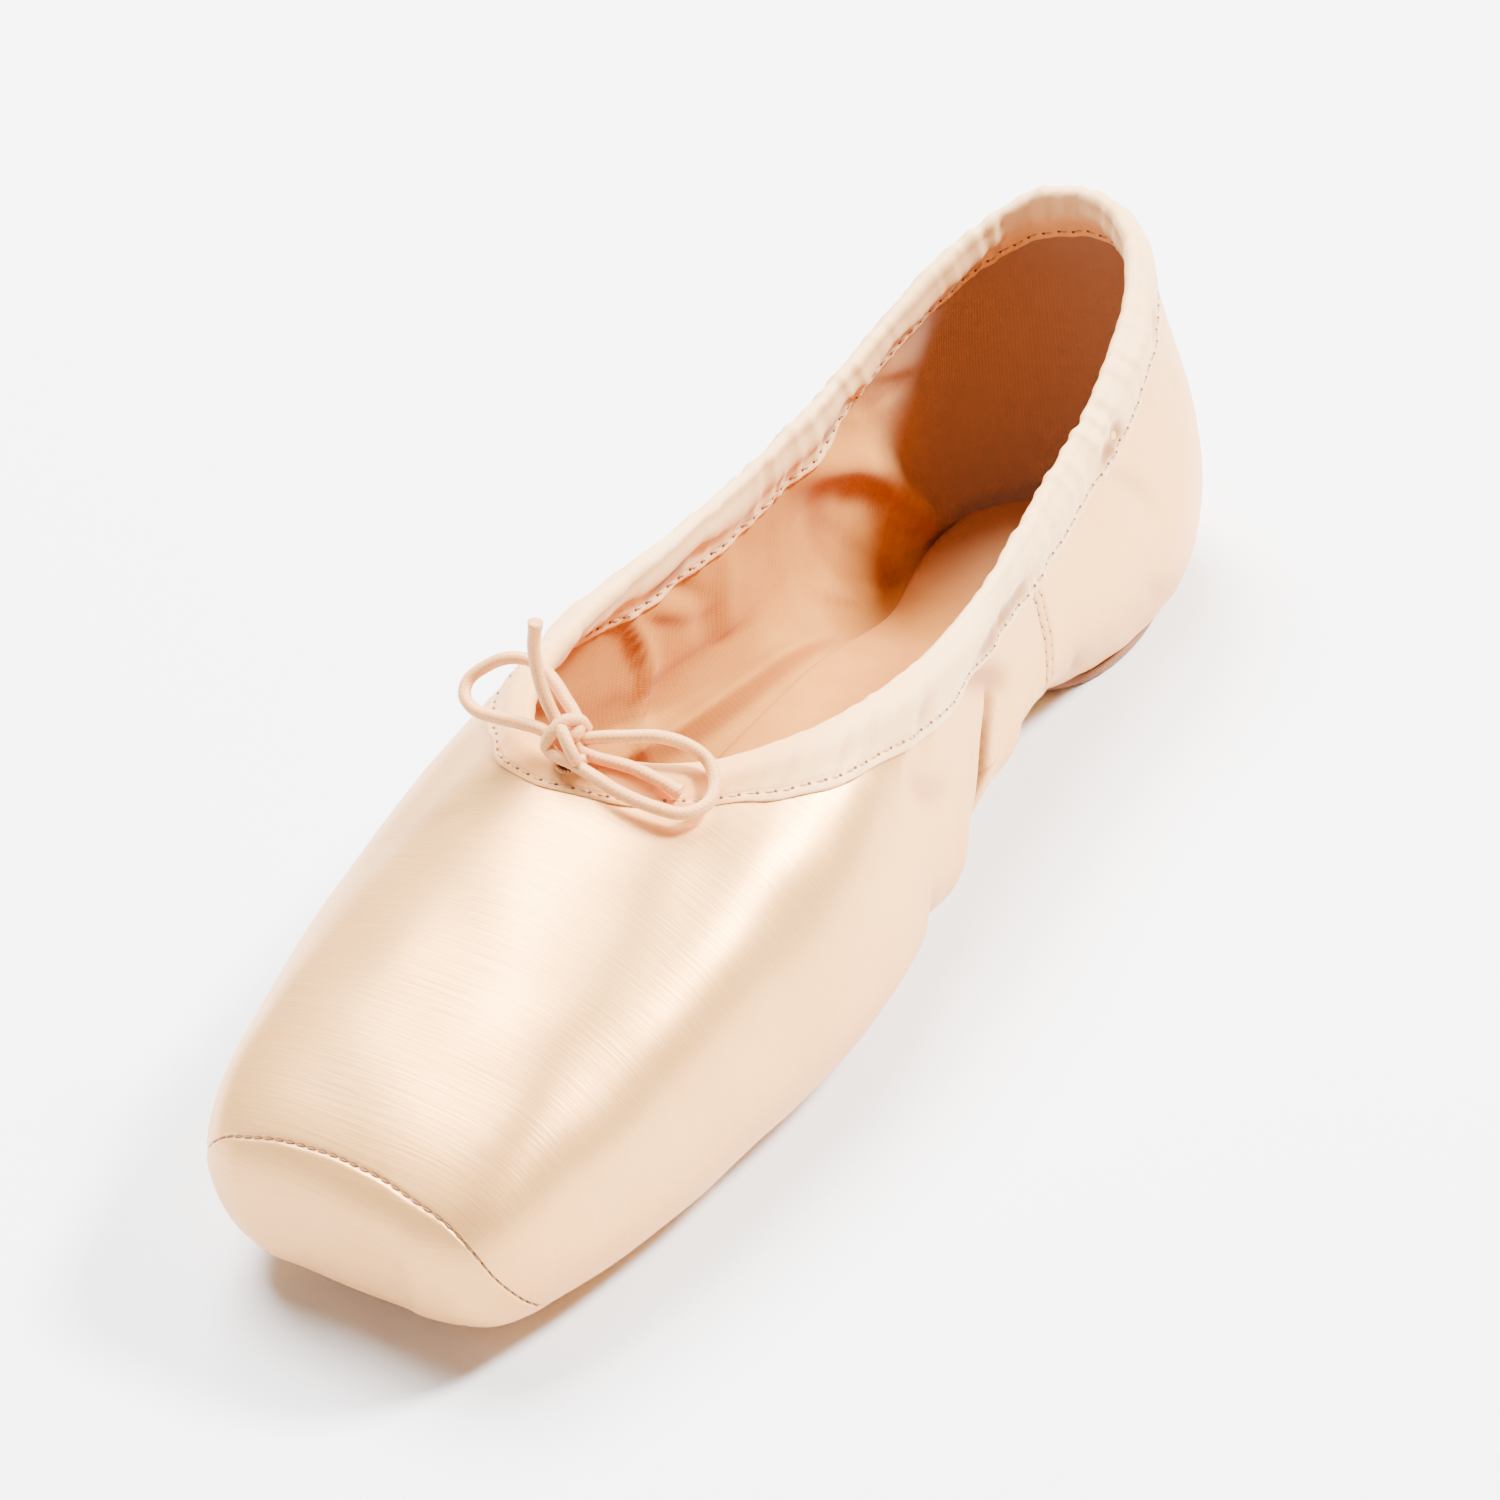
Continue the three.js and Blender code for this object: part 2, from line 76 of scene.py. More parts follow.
COLUMNS = (
    "collarY collarX collarZ girthY girthX girthZ cornerZ crown flank weight soleY soleX seatY"
).split()
SECTIONS = np.array(
    [
        [30.0, 0.0, 79.5, 0.0, 0.0, 27, 50, 0.9, 0.8, 1.7, 3.6, 0.0, 9.0],
        [30.4, 7.0, 79, 0.0, 11.0, 27, 50, 0.9, 0.8, 1.7, 3.6, 7.5, 9.1],
        [31.6, 13.8, 77.5, 0.1, 21.5, 27, 49, 0.88, 0.8, 1.6, 4.0, 14.5, 9.8],
        [34.0, 20.0, 75.5, 1.8, 30.5, 27, 49, 0.85, 0.75, 1.35, 5.8, 21.0, 11.5],
        [36.8, 24.6, 73.8, 7.0, 37.0, 27, 50, 0.82, 0.7, 1.2, 9.5, 26.0, 15.5],
        [40.0, 28.2, 72.2, 15.5, 42.5, 26, 54, 0.8, 0.66, 1.1, 17.0, 30.5, 21.5],
        [43.7, 30.8, 70.6, 25.0, 46.5, 25, 57, 0.78, 0.62, 1.0, 26.0, 33.0, 29.0],
        [48.0, 32.6, 69.1, 35.0, 48.3, 25, 57, 0.68, 0.6, 1.0, 35.5, 33.0, 37.0],
        [54.5, 33.5, 67.8, 47.0, 42.5, 26, 55, 0.58, 0.58, 1.0, 47.0, 26.0, 48.0],
        [63.0, 32.0, 68.3, 60.0, 35.5, 29, 55, 0.55, 0.56, 1.0, 60.0, 17.5, 60.0],
        [72.5, 29.0, 72.3, 73.0, 33.8, 31, 57, 0.52, 0.56, 1.0, 73.0, 18.5, 73.0],
        [81.5, 26.5, 79.5, 84.0, 34.5, 31, 60, 0.5, 0.58, 1.0, 83.5, 25.0, 82.5],
        [89.8, 21.0, 89.5, 92.5, 30.0, 31, 65, 0.5, 0.58, 1.0, 91.0, 22.5, 88.0],
        [94.8, 11.8, 97.5, 98.0, 16.5, 31, 69, 0.5, 0.58, 1.0, 95.0, 12.5, 91.0],
        [96.2, 0.0, 100, 99.5, 0.0, 31, 70, 0.5, 0.58, 1.0, 96.0, 0.0, 91.8],
    ]
)
LAST = len(SECTIONS) - 1
FRONT_SOLE = {"start": 4.5, "end": 51.5, "half": 32.5, "taper": 0.16, "squareness": 0.8}
HEEL_SOLE = {"start": 70.0, "end": 95.0, "half": 28.5, "taper": -0.04, "squareness": 0.85}

# Where the seams run, as u and t of the outer face
TIP_SEAM_U = [0.0, 1.0, 1.5, 2.2, 2.7, 3.1, 3.45, 3.7, 4.4, 5.2, 6.2, 7.2, 14.0]
TIP_SEAM_T = [0.63, 0.65, 0.68, 0.735, 0.85, 1.04, 1.4, 1.7, 1.75, 1.5, 1.15, 1.0, 1.0]
SIDE_SEAM_T = [0.0, 0.26, 0.53, 0.8, 1.2, 2.0, 3.0]
SIDE_SEAM_U = [9.25, 9.3, 9.42, 9.48, 9.46, 9.36, 9.3]
# u at which the platform's seam ends, and of the side seam and of the lining's seam
TIP_SEAM_END = 3.55
SIDE_SEAM = 9.42
LINING_SEAM = 9.6

# Creases of the satin: u and t of the points that each runs through, depth in mm below the
# surface (a ridge is negative), half width in mm
CREASES = [
    # the deep pleat where the waist folds behind the front outsole, between two puffs
    ([(8.74, 0.68), (8.64, 0.86), (8.52, 1.06), (8.36, 1.32), (8.3, 1.6)], 3.6, 1.8),
    ([(8.25, 0.7), (8.15, 1.0), (8.02, 1.4), (8.0, 1.8)], -1.5, 3.0),
    ([(9.02, 0.8), (8.95, 1.1), (8.8, 1.5), (8.7, 1.9)], -1.4, 2.8),
    ([(7.7, 1.0), (7.75, 1.4), (7.8, 1.9)], 1.1, 2.8),
    ([(-8.55, 0.74), (-8.45, 1.0), (-8.3, 1.4), (-8.25, 1.9)], 2.0, 1.8),
    ([(-8.1, 0.7), (-8.0, 1.0), (-7.9, 1.5)], -0.8, 3.0),
    ([(-8.95, 0.85), (-8.85, 1.3), (-8.75, 1.9)], -0.8, 3.0),
    ([(-7.65, 1.05), (-7.75, 1.5), (-7.8, 2.0)], 0.7, 2.6),
    # soft folds that fan out from the front end of the heel patch
    ([(9.75, 1.1), (9.95, 1.45), (10.2, 1.75)], 0.9, 2.2),
    ([(-9.8, 1.1), (-10.0, 1.45), (-10.3, 1.75)], 1.0, 2.2),
    ([(9.7, 1.86), (10.3, 1.84), (11.1, 1.82), (12.2, 1.8)], -1.3, 3.4),
    ([(-9.7, 1.86), (-10.3, 1.84), (-11.1, 1.82), (-12.2, 1.8)], -1.3, 3.4),
    ([(10.2, 1.15), (10.5, 1.6), (10.85, 2.0)], -0.5, 2.8),
    ([(-10.25, 1.1), (-10.55, 1.6), (-10.9, 2.0)], -0.5, 2.8),
    ([(10.6, 1.05), (11.0, 1.5), (11.3, 1.9)], 0.6, 2.6),
    ([(-10.7, 1.05), (-11.05, 1.5), (-11.3, 1.9)], 0.7, 2.6),
    # folds of the waist's underside
    ([(7.85, 1.9), (8.1, 2.4), (8.4, 2.9)], 0.8, 2.2),
    ([(-7.85, 1.95), (-8.15, 2.4), (-8.45, 2.9)], 0.8, 2.2),
    ([(8.95, 1.8), (8.8, 2.3), (8.85, 2.8)], -0.6, 2.4),
    ([(-8.9, 1.9), (-8.75, 2.3), (-8.8, 2.8)], -0.6, 2.4),
    ([(9.75, 1.8), (9.8, 2.3), (9.9, 2.8)], 0.7, 2.0),
    ([(-9.7, 1.9), (-9.8, 2.35), (-9.9, 2.8)], 0.7, 2.0),
    # hollows that the drawn string leaves below the casing
    ([(8.3, 0.36), (8.75, 0.55), (9.05, 0.8)], 1.4, 3.0),
    ([(-8.2, 0.36), (-8.7, 0.58), (-9.0, 0.8)], 1.3, 3.0),
    ([(7.3, 0.34), (7.7, 0.55), (8.1, 0.72)], 0.8, 3.6),
    ([(-7.2, 0.34), (-7.6, 0.56), (-8.0, 0.72)], 0.8, 3.6),
    ([(10.45, 0.32), (10.7, 0.55), (10.95, 0.85)], 0.7, 3.0),
    ([(-10.4, 0.32), (-10.7, 0.55), (-11.0, 0.85)], 0.7, 3.0),
    ([(11.7, 0.36), (11.85, 0.6)], 0.4, 3.0),
    ([(-11.6, 0.36), (-11.8, 0.62)], 0.4, 3.0),
    # facets of the platform
    ([(1.44, 0.72), (1.52, 1.1), (1.44, 1.6)], -0.35, 1.6),
    ([(-1.9, 0.78), (-1.75, 1.2), (-1.7, 1.7)], -0.3, 2.0),
    ([(2.5, 1.35), (2.0, 1.75)], 0.3, 2.4),
    ([(-2.4, 1.4), (-1.9, 1.8)], 0.3, 2.4),
]
# Folds of the lining in the same terms, with depth away from the foot
LINING_FOLDS = [
    # the pillow behind the side seam, and the hollow under it
    ([(-9.95, 0.42), (-10.35, 0.62), (-10.8, 0.9), (-11.2, 1.35), (-11.4, 1.8)], -2.7, 4.2),
    ([(-9.95, 0.74), (-10.2, 1.15), (-10.5, 1.5), (-10.7, 1.8)], 1.0, 3.2),
    ([(10.0, 0.42), (10.45, 0.66), (10.9, 0.95), (11.2, 1.4)], -2.3, 3.8),
    ([(9.95, 0.7), (10.25, 1.1), (10.55, 1.5)], 1.0, 3.4),
    # the roll along the insole's edge at the waist, and the hollow over it
    ([(-9.5, 1.75), (-8.95, 1.66), (-8.5, 1.5), (-8.2, 1.3), (-7.8, 1.15)], -1.8, 3.2),
    ([(-9.4, 1.35), (-8.95, 1.25), (-8.45, 1.1), (-8.0, 0.9)], 1.0, 4.0),
    ([(9.5, 1.7), (8.95, 1.62), (8.5, 1.45), (8.1, 1.2)], -1.7, 3.4),
    ([(9.4, 1.3), (8.95, 1.2), (8.4, 1.0)], 0.9, 4.0),
    # small folds that hang from the casing
    ([(-8.15, 0.36), (-8.4, 0.6), (-8.5, 0.84)], -1.1, 1.7),
    ([(-8.6, 0.4), (-8.9, 0.68), (-9.0, 0.9)], 0.7, 2.4),
    ([(-9.1, 0.4), (-9.15, 0.7), (-9.1, 1.0)], -0.7, 2.6),
    ([(-7.3, 0.36), (-7.5, 0.6), (-7.9, 0.85)], 0.7, 2.4),
    ([(-6.6, 0.36), (-6.9, 0.62)], -0.6, 2.6),
    ([(-10.6, 0.34), (-11.0, 0.5), (-11.5, 0.62)], 0.8, 2.4),
    ([(8.2, 0.38), (8.5, 0.66), (8.6, 0.9)], -1.0, 2.0),
    ([(8.8, 0.4), (9.0, 0.7), (9.05, 1.0)], 0.8, 2.4),
    ([(7.3, 0.36), (7.6, 0.62)], 0.7, 2.4),
    ([(11.0, 0.36), (11.4, 0.55)], 0.7, 2.6),
]
# Where the drawn string pinches the casing: u of the middle, half length in mm, strength
PINCHES = [
    (8.9, 8.0, 1.0),
    (10.62, 4.4, 1.0),
    (7.55, 4.0, 0.45),
    (11.9, 5.0, 0.5),
    (9.7, 3.0, 0.35),
    (-8.5, 5.0, 0.8),
    (-10.25, 3.6, 0.9),
    (-10.95, 3.2, 0.9),
    (-9.3, 3.2, 0.45),
    (-7.5, 4.0, 0.5),
    (-12.2, 5.0, 0.5),
    (6.3, 4.0, 0.25),
    (-6.2, 4.0, 0.3),
]

# Centre lines of the string in mm from the knot's middle: across, towards the heel and up
THROAT_TO_KNOT = (0.0, -1.6, 3.3)
LEFT_STRING = [
    # out of the hole
    (0.0, -1.3, -2.4),
    (-1.6, -1.2, -0.6),
    (-3.4, -0.9, 1.7),
    # the loop
    (-7.6, -1.1, 2.2),
    (-11.2, -1.2, 2.1),
    (-16.5, -1.0, 2.2),
    (-19.1, 0.4, 3.2),
    (-19.5, 2.4, 4.5),
    (-17.3, 4.6, 6.2),
    (-14.4, 6.0, 7.4),
    (-10.9, 6.8, 7.5),
    (-7.8, 6.4, 6.6),
    (-5.2, 5.4, 5.5),
    (-2.9, 4.2, 4.2),
    (-0.9, 3.1, 3.3),
    # through the knot
    (0.9, 1.6, 2.2),
    (1.0, 0.2, 1.6),
    (-0.6, 0.2, 1.4),
    (-2.5, 0.9, 2.7),
    # the free end
    (-3.8, 1.3, 4.8),
    (-5.0, 1.8, 8.2),
    (-5.6, 2.5, 13.7),
    (-4.7, 3.0, 18.4),
]
RIGHT_STRING = [
    # out of the hole
    (0.3, -1.3, -2.4),
    (1.6, -2.2, -1.6),
    # the loop
    (6.4, -3.0, -2.3),
    (10.3, -3.3, -3.4),
    (15.8, -2.5, -5.1),
    (19.6, -0.7, -6.3),
    (21.3, 2.9, -6.5),
    (20.4, 6.4, -5.5),
    (18.0, 8.4, -3.4),
    (15.2, 7.6, -0.9),
    (11.9, 5.6, 0.9),
    (7.7, 3.5, 1.1),
    (5.4, 2.6, 1.0),
    # through the knot
    (3.0, 1.7, 0.7),
    (1.2, 0.9, 0.2),
    (1.6, 0.0, -0.5),
    (4.2, 0.2, -1.3),
    # the free end
    (7.0, 0.7, -1.8),
    (9.8, 1.2, -2.3),
    (14.3, 1.7, -3.8),
    (17.4, 1.9, -5.1),
]
# Turns of string that hold the bow together, each with its share of the string's thickness
KNOT_TURNS = [
    (
        [
            (-2.3, -1.9, -1.1),
            (-2.5, -2.5, 0.7),
            (-1.5, -1.7, 2.8),
            (-0.3, 0.3, 3.9),
            (0.9, 2.1, 3.0),
            (1.3, 2.7, 1.1),
        ],
        0.96,
    ),
    (
        [
            (-2.6, 1.3, 0.9),
            (-1.6, 0.0, 3.1),
            (0.2, -1.4, 3.1),
            (1.9, -2.5, 1.4),
            (2.7, -2.6, -0.4),
            (2.3, -1.7, -1.8),
        ],
        0.96,
    ),
    (
        [
            (-3.2, -0.6, 0.3),
            (-1.8, -2.4, 0.1),
            (0.0, -3.1, -0.4),
            (1.9, -2.6, -1.0),
            (3.2, -1.0, -1.2),
        ],
        0.9,
    ),
]

# Share, wavelength and phase of the waves that the casing's gathers are made of
GATHER_WAVES = (
    (0.42, 0.0052, 0.3),
    (0.34, 0.0083, 1.9),
    (0.3, 0.0131, 4.0),
    (0.22, 0.0037, 2.2),
)

CAMERA_EYE = (0.2652, -0.3431, 0.3405)
CAMERA_TARGET = (-0.001, -0.006, 0.026)
CAMERA_ROLL = math.radians(-9.14)
# Name, watts, size, distance, and direction to the right of the camera, up and back towards it
LIGHTS = (
    ("key", 235.0, 0.4, 2.2, (0.72, 0.85, 0.4)),
    ("top", 195.0, 1.1, 1.8, (-0.26, 0.94, 0.22)),
    ("fill", 7.0, 1.6, 1.9, (-0.9, 0.1, 0.9)),
)
STUDIO_WALLS = "#f4f2f0"
STRING_HOLE_SHADE = "#6b3a26"
PINHOLE_SHADE = "#2e180d"

# Sockets of a Mix node that is set to colours
FACTOR, FIRST, SECOND, MIXED = 0, 6, 7, 2
# Scale at which a Wave texture has one band in each unit
ONE_BAND = 0.314


def linear(code):
    """An sRGB hex colour as linear RGBA."""
    values = [int(code[i : i + 2], 16) / 255 for i in (1, 3, 5)]
    return (*(v / 12.92 if v <= 0.04045 else ((v + 0.055) / 1.055) ** 2.4 for v in values), 1.0)


def colour(name, description, code):
    return bpy.props.FloatVectorProperty(
        name=name,
        description=description,
        default=linear(code),
        size=4,
        min=0,
        max=1,
        subtype="COLOR",
    )


def length(name, description, default):
    return bpy.props.FloatProperty(
        name=name, description=description, default=default, min=0, unit="LENGTH", precision=5
    )


class PointeShoeSizes(bpy.types.PropertyGroup):
    """Sizes of the shoe's trimmings."""

    crease_scale: bpy.props.FloatProperty(
        name="Crease depth",
        description="Depth of the satin's creases, as a share of the drawn ones",
        default=1.0,
        min=0,
        max=2,
        subtype="FACTOR",
    )
    casing_gather: length("Casing gather", "Height of the casing's gathers", 0.00032)
    cord_diameter: length("String diameter", "Diameter of the drawstring", 0.002)
    thread_diameter: length("Thread diameter", "Diameter of the seams' thread", 0.0005)
    groove_depth: length("Groove depth", "Depth of the soles' scored grooves", 0.0003)


class PointeShoeColours(bpy.types.PropertyGroup):
    """Colours of the shoe's materials."""

    satin: colour("Satin", "Satin in full light", "#f3b770")
    satin_shade: colour("Satin shade", "Deeper tone of the satin's uneven dye", "#eaa558")
    # painted shade: a deep warm tone laid into the satin's creases and beside the side seams'
    # stitches
    satin_crease_shade: colour("Satin in creases", "Satin where it folds in on itself", "#94440f")
    casing: colour("Casing", "Tape round the collar", "#f8c78a")
    lining: colour("Lining", "Cotton drill inside", "#cd8a38")
    # painted shade: a duller tone at the heel, where the inside of the heel lies in shadow
    lining_heel_shade: colour("Lining at the heel", "Cotton drill where the heel rubs", "#a8826b")
    # painted shade: a deep orange under the lining's folds, in their hollows and deep in the box
    lining_fold_shade: colour("Lining in folds", "Cotton drill in the folds and the box", "#a65f1e")
    sole: colour("Sole", "Leather of the soles", "#bd7747")
    sole_patch: colour("Sole patches", "Darker patches of that leather", "#a05a30")
    sole_edge: colour("Sole edge", "Cut edge of that leather", "#8a5a3a")
    groove: colour("Grooves", "Scored grooves of the soles", "#6b3418")
    thread: colour("Thread", "Pale thread of the seams", "#d8a46f")
    dark_thread: colour("Platform thread", "Thread of the platform's seam", "#86664c")
    needle_hole: colour("Needle holes", "Shade in the holes of the stitches", "#7d4d2c")
    cord: colour("String", "Cotton drawstring", "#e5a05a")
    floor: colour("Floor", "Studio floor", "#ececed")


# The last's surface, by sections and splines


def spline_bends(values, changes_sign):
    """Second derivatives of a smooth curve through one column's rows."""
    n = len(values)
    system, load = np.zeros((n, n)), np.zeros(n)
    for i in range(n):
        if changes_sign and i in (0, n - 1):
            system[i, i] = 1
            continue
        before, after = (i - 1 if i else 1), (i + 1 if i < n - 1 else n - 2)
        system[i, i] = 4
        system[i, before] += 1
        system[i, after] += 1
        load[i] = 6 * (values[before] - 2 * values[i] + values[after])
    return np.linalg.solve(system, load)


CURVES = {
    name: (SECTIONS[:, k], spline_bends(SECTIONS[:, k], name.endswith("X")))
    for k, name in enumerate(COLUMNS)
}


def value_at(name, u):
    """A column's value at u, on the curve through its rows."""
    values, bends = CURVES[name]
    i = np.clip(np.floor(u).astype(int), 0, LAST - 1)
    b = u - i
    a = 1 - b
    curve = ((a**3 - a) * bends[i] + (b**3 - b) * bends[i + 1]) / 6
    return a * values[i] + b * values[i + 1] + curve


def smoothstep(low, high, x):
    t = np.clip((x - low) / (high - low), 0, 1)
    return t * t * (3 - 2 * t)


def tread_height(y):
    """Height of the upper's underside; y counts from the platform."""
    percent = y / LENGTH * 100
    toe = np.maximum(0, 1 - percent / 19) ** 2
    waist = smoothstep(42, 62, percent) * (1 - smoothstep(62, 78, percent))
    return OUTSOLE + GAP + TOE_SPRING * toe + ARCH_LIFT * waist


def egg_span(egg):
    """Where an outsole starts and ends, in metres from the platform."""
    return egg["start"] / 100 * LENGTH, egg["end"] / 100 * LENGTH


def egg_half_width(egg, y, inset=0.0):
    """Half the width of an outsole at y from the platform."""
    start, end = egg_span(egg)
    c = np.clip(((start + end) / 2 - y) / ((end - start) / 2 - inset), -1, 1)
    half = egg["half"] / 100 * BALL_WIDTH - inset
    return half * (1 - c * c) ** (egg["squareness"] / 2) * (1 - egg["taper"] * c)


def turn(start, corner, end, pull_start, pull_end, weight, t):
    """A rational cubic that leaves start and end towards corner."""
    s = 1 - t
    parts = [s**3, 3 * s * s * t * weight, 3 * s * t * t * weight, t**3]
    total = sum(parts)
    near = start + (corner - start) * pull_start[..., None]
    far = end + (corner - end) * pull_end[..., None]
    return sum(p * (k / total)[..., None] for p, k in zip((start, near, far, end), parts))


def outer_face(u_signed, t):
    """The upper's outer face. u is 0 at the toe, 14 at the heel and negative on the left; t is 0 at
    the collar, 1 at the girth, 2 at the edge of the tread and 3 where the satin ends under it."""
    u_signed, t = np.broadcast_arrays(np.asarray(u_signed, float), np.asarray(t, float))
    side = np.where(u_signed < 0, -1.0, 1.0)
    u = np.abs(u_signed)
    over = u > LAST
    u = np.where(over, 2 * LAST - u, u)
    side = np.where(over, -side, side)

    def at(name, size):
        return value_at(name, u) / 100 * size

    x, y = at("girthX", BALL_WIDTH), at("girthY", LENGTH)
    sole_x, sole_y, seat_y = at("soleX", BALL_WIDTH), at("soleY", LENGTH), at("seatY", LENGTH)
    girth = np.stack([x, y, at("girthZ", HEEL_HEIGHT)], -1)
    collar = np.stack(
        [at("collarX", BALL_WIDTH), at("collarY", LENGTH), at("collarZ", HEEL_HEIGHT)], -1
    )
    corner = np.stack([x, y, at("cornerZ", HEEL_HEIGHT)], -1)
    tread = np.stack([sole_x, sole_y, tread_height(sole_y)], -1)
    under = np.stack([x, y, tread[..., 2]], -1)
    crown, flank, weight = (value_at(name, u) for name in ("crown", "flank", "weight"))
    top = turn(collar, corner, girth, crown, flank, weight, np.clip(t, 0, 1))
    mid = turn(girth, under, tread, flank, flank, np.ones_like(t), np.clip(t - 1, 0, 1))
    k = np.clip(t - 2, 0, 1)
    seats = [egg_half_width(egg, seat_y, OPENING_MARGIN) for egg in (FRONT_SOLE, HEEL_SOLE)]
    bottom_y = sole_y + (seat_y - sole_y) * k
    bottom_x = sole_x + (np.maximum(*seats) - sole_x) * k
    bottom = np.stack([bottom_x, bottom_y, tread_height(bottom_y)], -1)
    p = np.where((t <= 1)[..., None], top, np.where((t <= 2)[..., None], mid, bottom))
    p[..., 0] *= side
    p[..., 1] -= LENGTH / 2
    return p


def unit(v):
    return v / np.maximum(np.linalg.norm(v, axis=-1, keepdims=True), 1e-12)


def walked(points):
    """Distances along each line of points, from its first one."""
    steps = np.linalg.norm(np.diff(points, axis=-2), axis=-1)
    start = np.zeros((*steps.shape[:-1], 1))
    return np.concatenate([start, np.cumsum(steps, axis=-1)], axis=-1)


def bell(x, width):
    """1 where x is 0, and next to nothing two widths away."""
    return np.exp(-((x / width) ** 2))


def steps_of(u, t):
    """The face's two directions at u and t, per section and per unit of t."""
    u, t = np.broadcast_arrays(np.asarray(u, float), np.asarray(t, float))
    span = np.where(t <= 1, 0.0, np.where(t <= 2, 1.0, 2.0))
    low, high = np.maximum(span, t - 0.01), np.minimum(span + 1, t + 0.01)
    round_shoe = (outer_face(u + 0.02, t) - outer_face(u - 0.02, t)) / 0.04
    down = (outer_face(u, high) - outer_face(u, low)) / (high - low)[..., None]
    return round_shoe, down


def outward(u, t):
    """The direction square to the face, away from the foot."""
    round_shoe, down = steps_of(u, t)
    return unit(np.cross(down, round_shoe))


def full_wall(percent):
    """Thickness of the wall below its edge, by % of the length."""
    return BOX_WALL + (QUARTER_WALL - BOX_WALL) * smoothstep(24, 40, percent)


def wall_at(u, t):
    """Thickness of the upper: satin, lining and, in the box, paste."""
    percent = (outer_face(u, t)[..., 1] / LENGTH + 0.5) * 100
    full = full_wall(percent)
    return EDGE_WALL + (full - EDGE_WALL) * smoothstep(0, 0.45, np.asarray(t, float))


def depth_to_t(u, depth):
    """t at a depth below the collar's edge, square to it."""
    u, depth = np.broadcast_arrays(np.asarray(u, float), np.asarray(depth, float))
    flat_u, flat_depth = u.ravel(), depth.ravel()
    columns, back = np.unique(flat_u, return_inverse=True)
    t = np.linspace(0, 1, 240)
    edge = outer_face(columns, 0.0)
    tangent = unit(outer_face(columns + 0.02, 0.0) - outer_face(columns - 0.02, 0.0))
    away = outer_face(columns[:, None], t[None]) - edge[:, None]
    fall = np.linalg.norm(np.cross(away, tangent[:, None]), axis=-1)
    fall = np.maximum.accumulate(fall, axis=1)
    found = [np.interp(d, fall[b], t) for d, b in zip(flat_depth, back)]
    return np.array(found).reshape(u.shape)


# Relief of the satin


def ripple(s, wavelengths, phase=0.0):
    """An uneven wave along s, from -1 to 1, of a few wavelengths."""
    waves = [np.sin(2 * np.pi * s / w + 1.7 * k + phase) for k, w in enumerate(wavelengths)]
    return sum(waves) / len(waves)


def smoothed(x, y, reach):
    """A fine table of the points' line with its corners rounded off, even about x = 0."""
    fine = np.arange(0, x[-1] + reach, 0.01)
    values = [np.interp(np.abs(fine + k), x, y) for k in np.linspace(-reach, reach, 41)]
    weights = np.cos(np.linspace(-1, 1, 41) * np.pi / 2) ** 2
    return fine, np.average(values, axis=0, weights=weights)


TIP_SEAM = smoothed(TIP_SEAM_U, TIP_SEAM_T, 0.45)


def tip_seam_t(u):
    return np.interp(np.abs(u), *TIP_SEAM)


def side_seam_u(t):
    return np.interp(t, SIDE_SEAM_T, SIDE_SEAM_U)


def collar_arc():
    """Length along the collar's edge from the toe, by u from -14 to 14."""
    u = np.linspace(-LAST, LAST, 1401)
    return u, walked(outer_face(u, 0.0))


COLLAR_U, COLLAR_S = collar_arc()


def gather(s):
    """Height of the drawn casing's wrinkles along the collar, from -1 to 1."""
    total = COLLAR_S[-1]
    waves = sum(
        share * np.sin(2 * np.pi * round(total / wavelength) * s / total + phase)
        for share, wavelength, phase in GATHER_WAVES
    )
    return waves * (0.62 + 0.38 * np.sin(2 * np.pi * 5 * s / total + 1.0))


def folded(places, folds):
    """How deep the folds are at those places, in metres. A ridge counts as less than nothing."""
    depths = np.zeros(places.shape[:-1])
    for path, depth, half_width in folds:
        line = smooth_line(outer_face(*np.array(path).T), 5)
        reach = 3 * half_width * MM
        low, high = line.min(0) - reach, line.max(0) + reach
        inside = ((places > low) & (places < high)).all(-1)
        some = places[inside]
        best, share = np.ones(len(some)), np.zeros(len(some))
        for i, (a, b) in enumerate(zip(line, line[1:])):
            k = np.clip(((some - a) @ (b - a)) / ((b - a) @ (b - a)), 0, 1)
            away = np.linalg.norm(some - (a + k[:, None] * (b - a)), axis=1)
            closer = away < best
            best[closer] = away[closer]
            share[closer] = ((i + k) / (len(line) - 1))[closer]
        fading = np.sin(np.pi * (0.1 + 0.8 * share)) ** 0.8
        depths[inside] += depth * MM * fading * bell(best, half_width * MM)
    return depths


def pinched(s):
    """How far the string draws the casing together at s, from 0 to 1."""
    drawn = np.zeros_like(s)
    total = COLLAR_S[-1]
    for u, half_length, strength in PINCHES:
        middle = np.interp(u, COLLAR_U, COLLAR_S)
        away = (s - middle + total / 2) % total - total / 2
        drawn = np.maximum(drawn, strength * bell(away, 1.15 * half_length * MM))
    return drawn


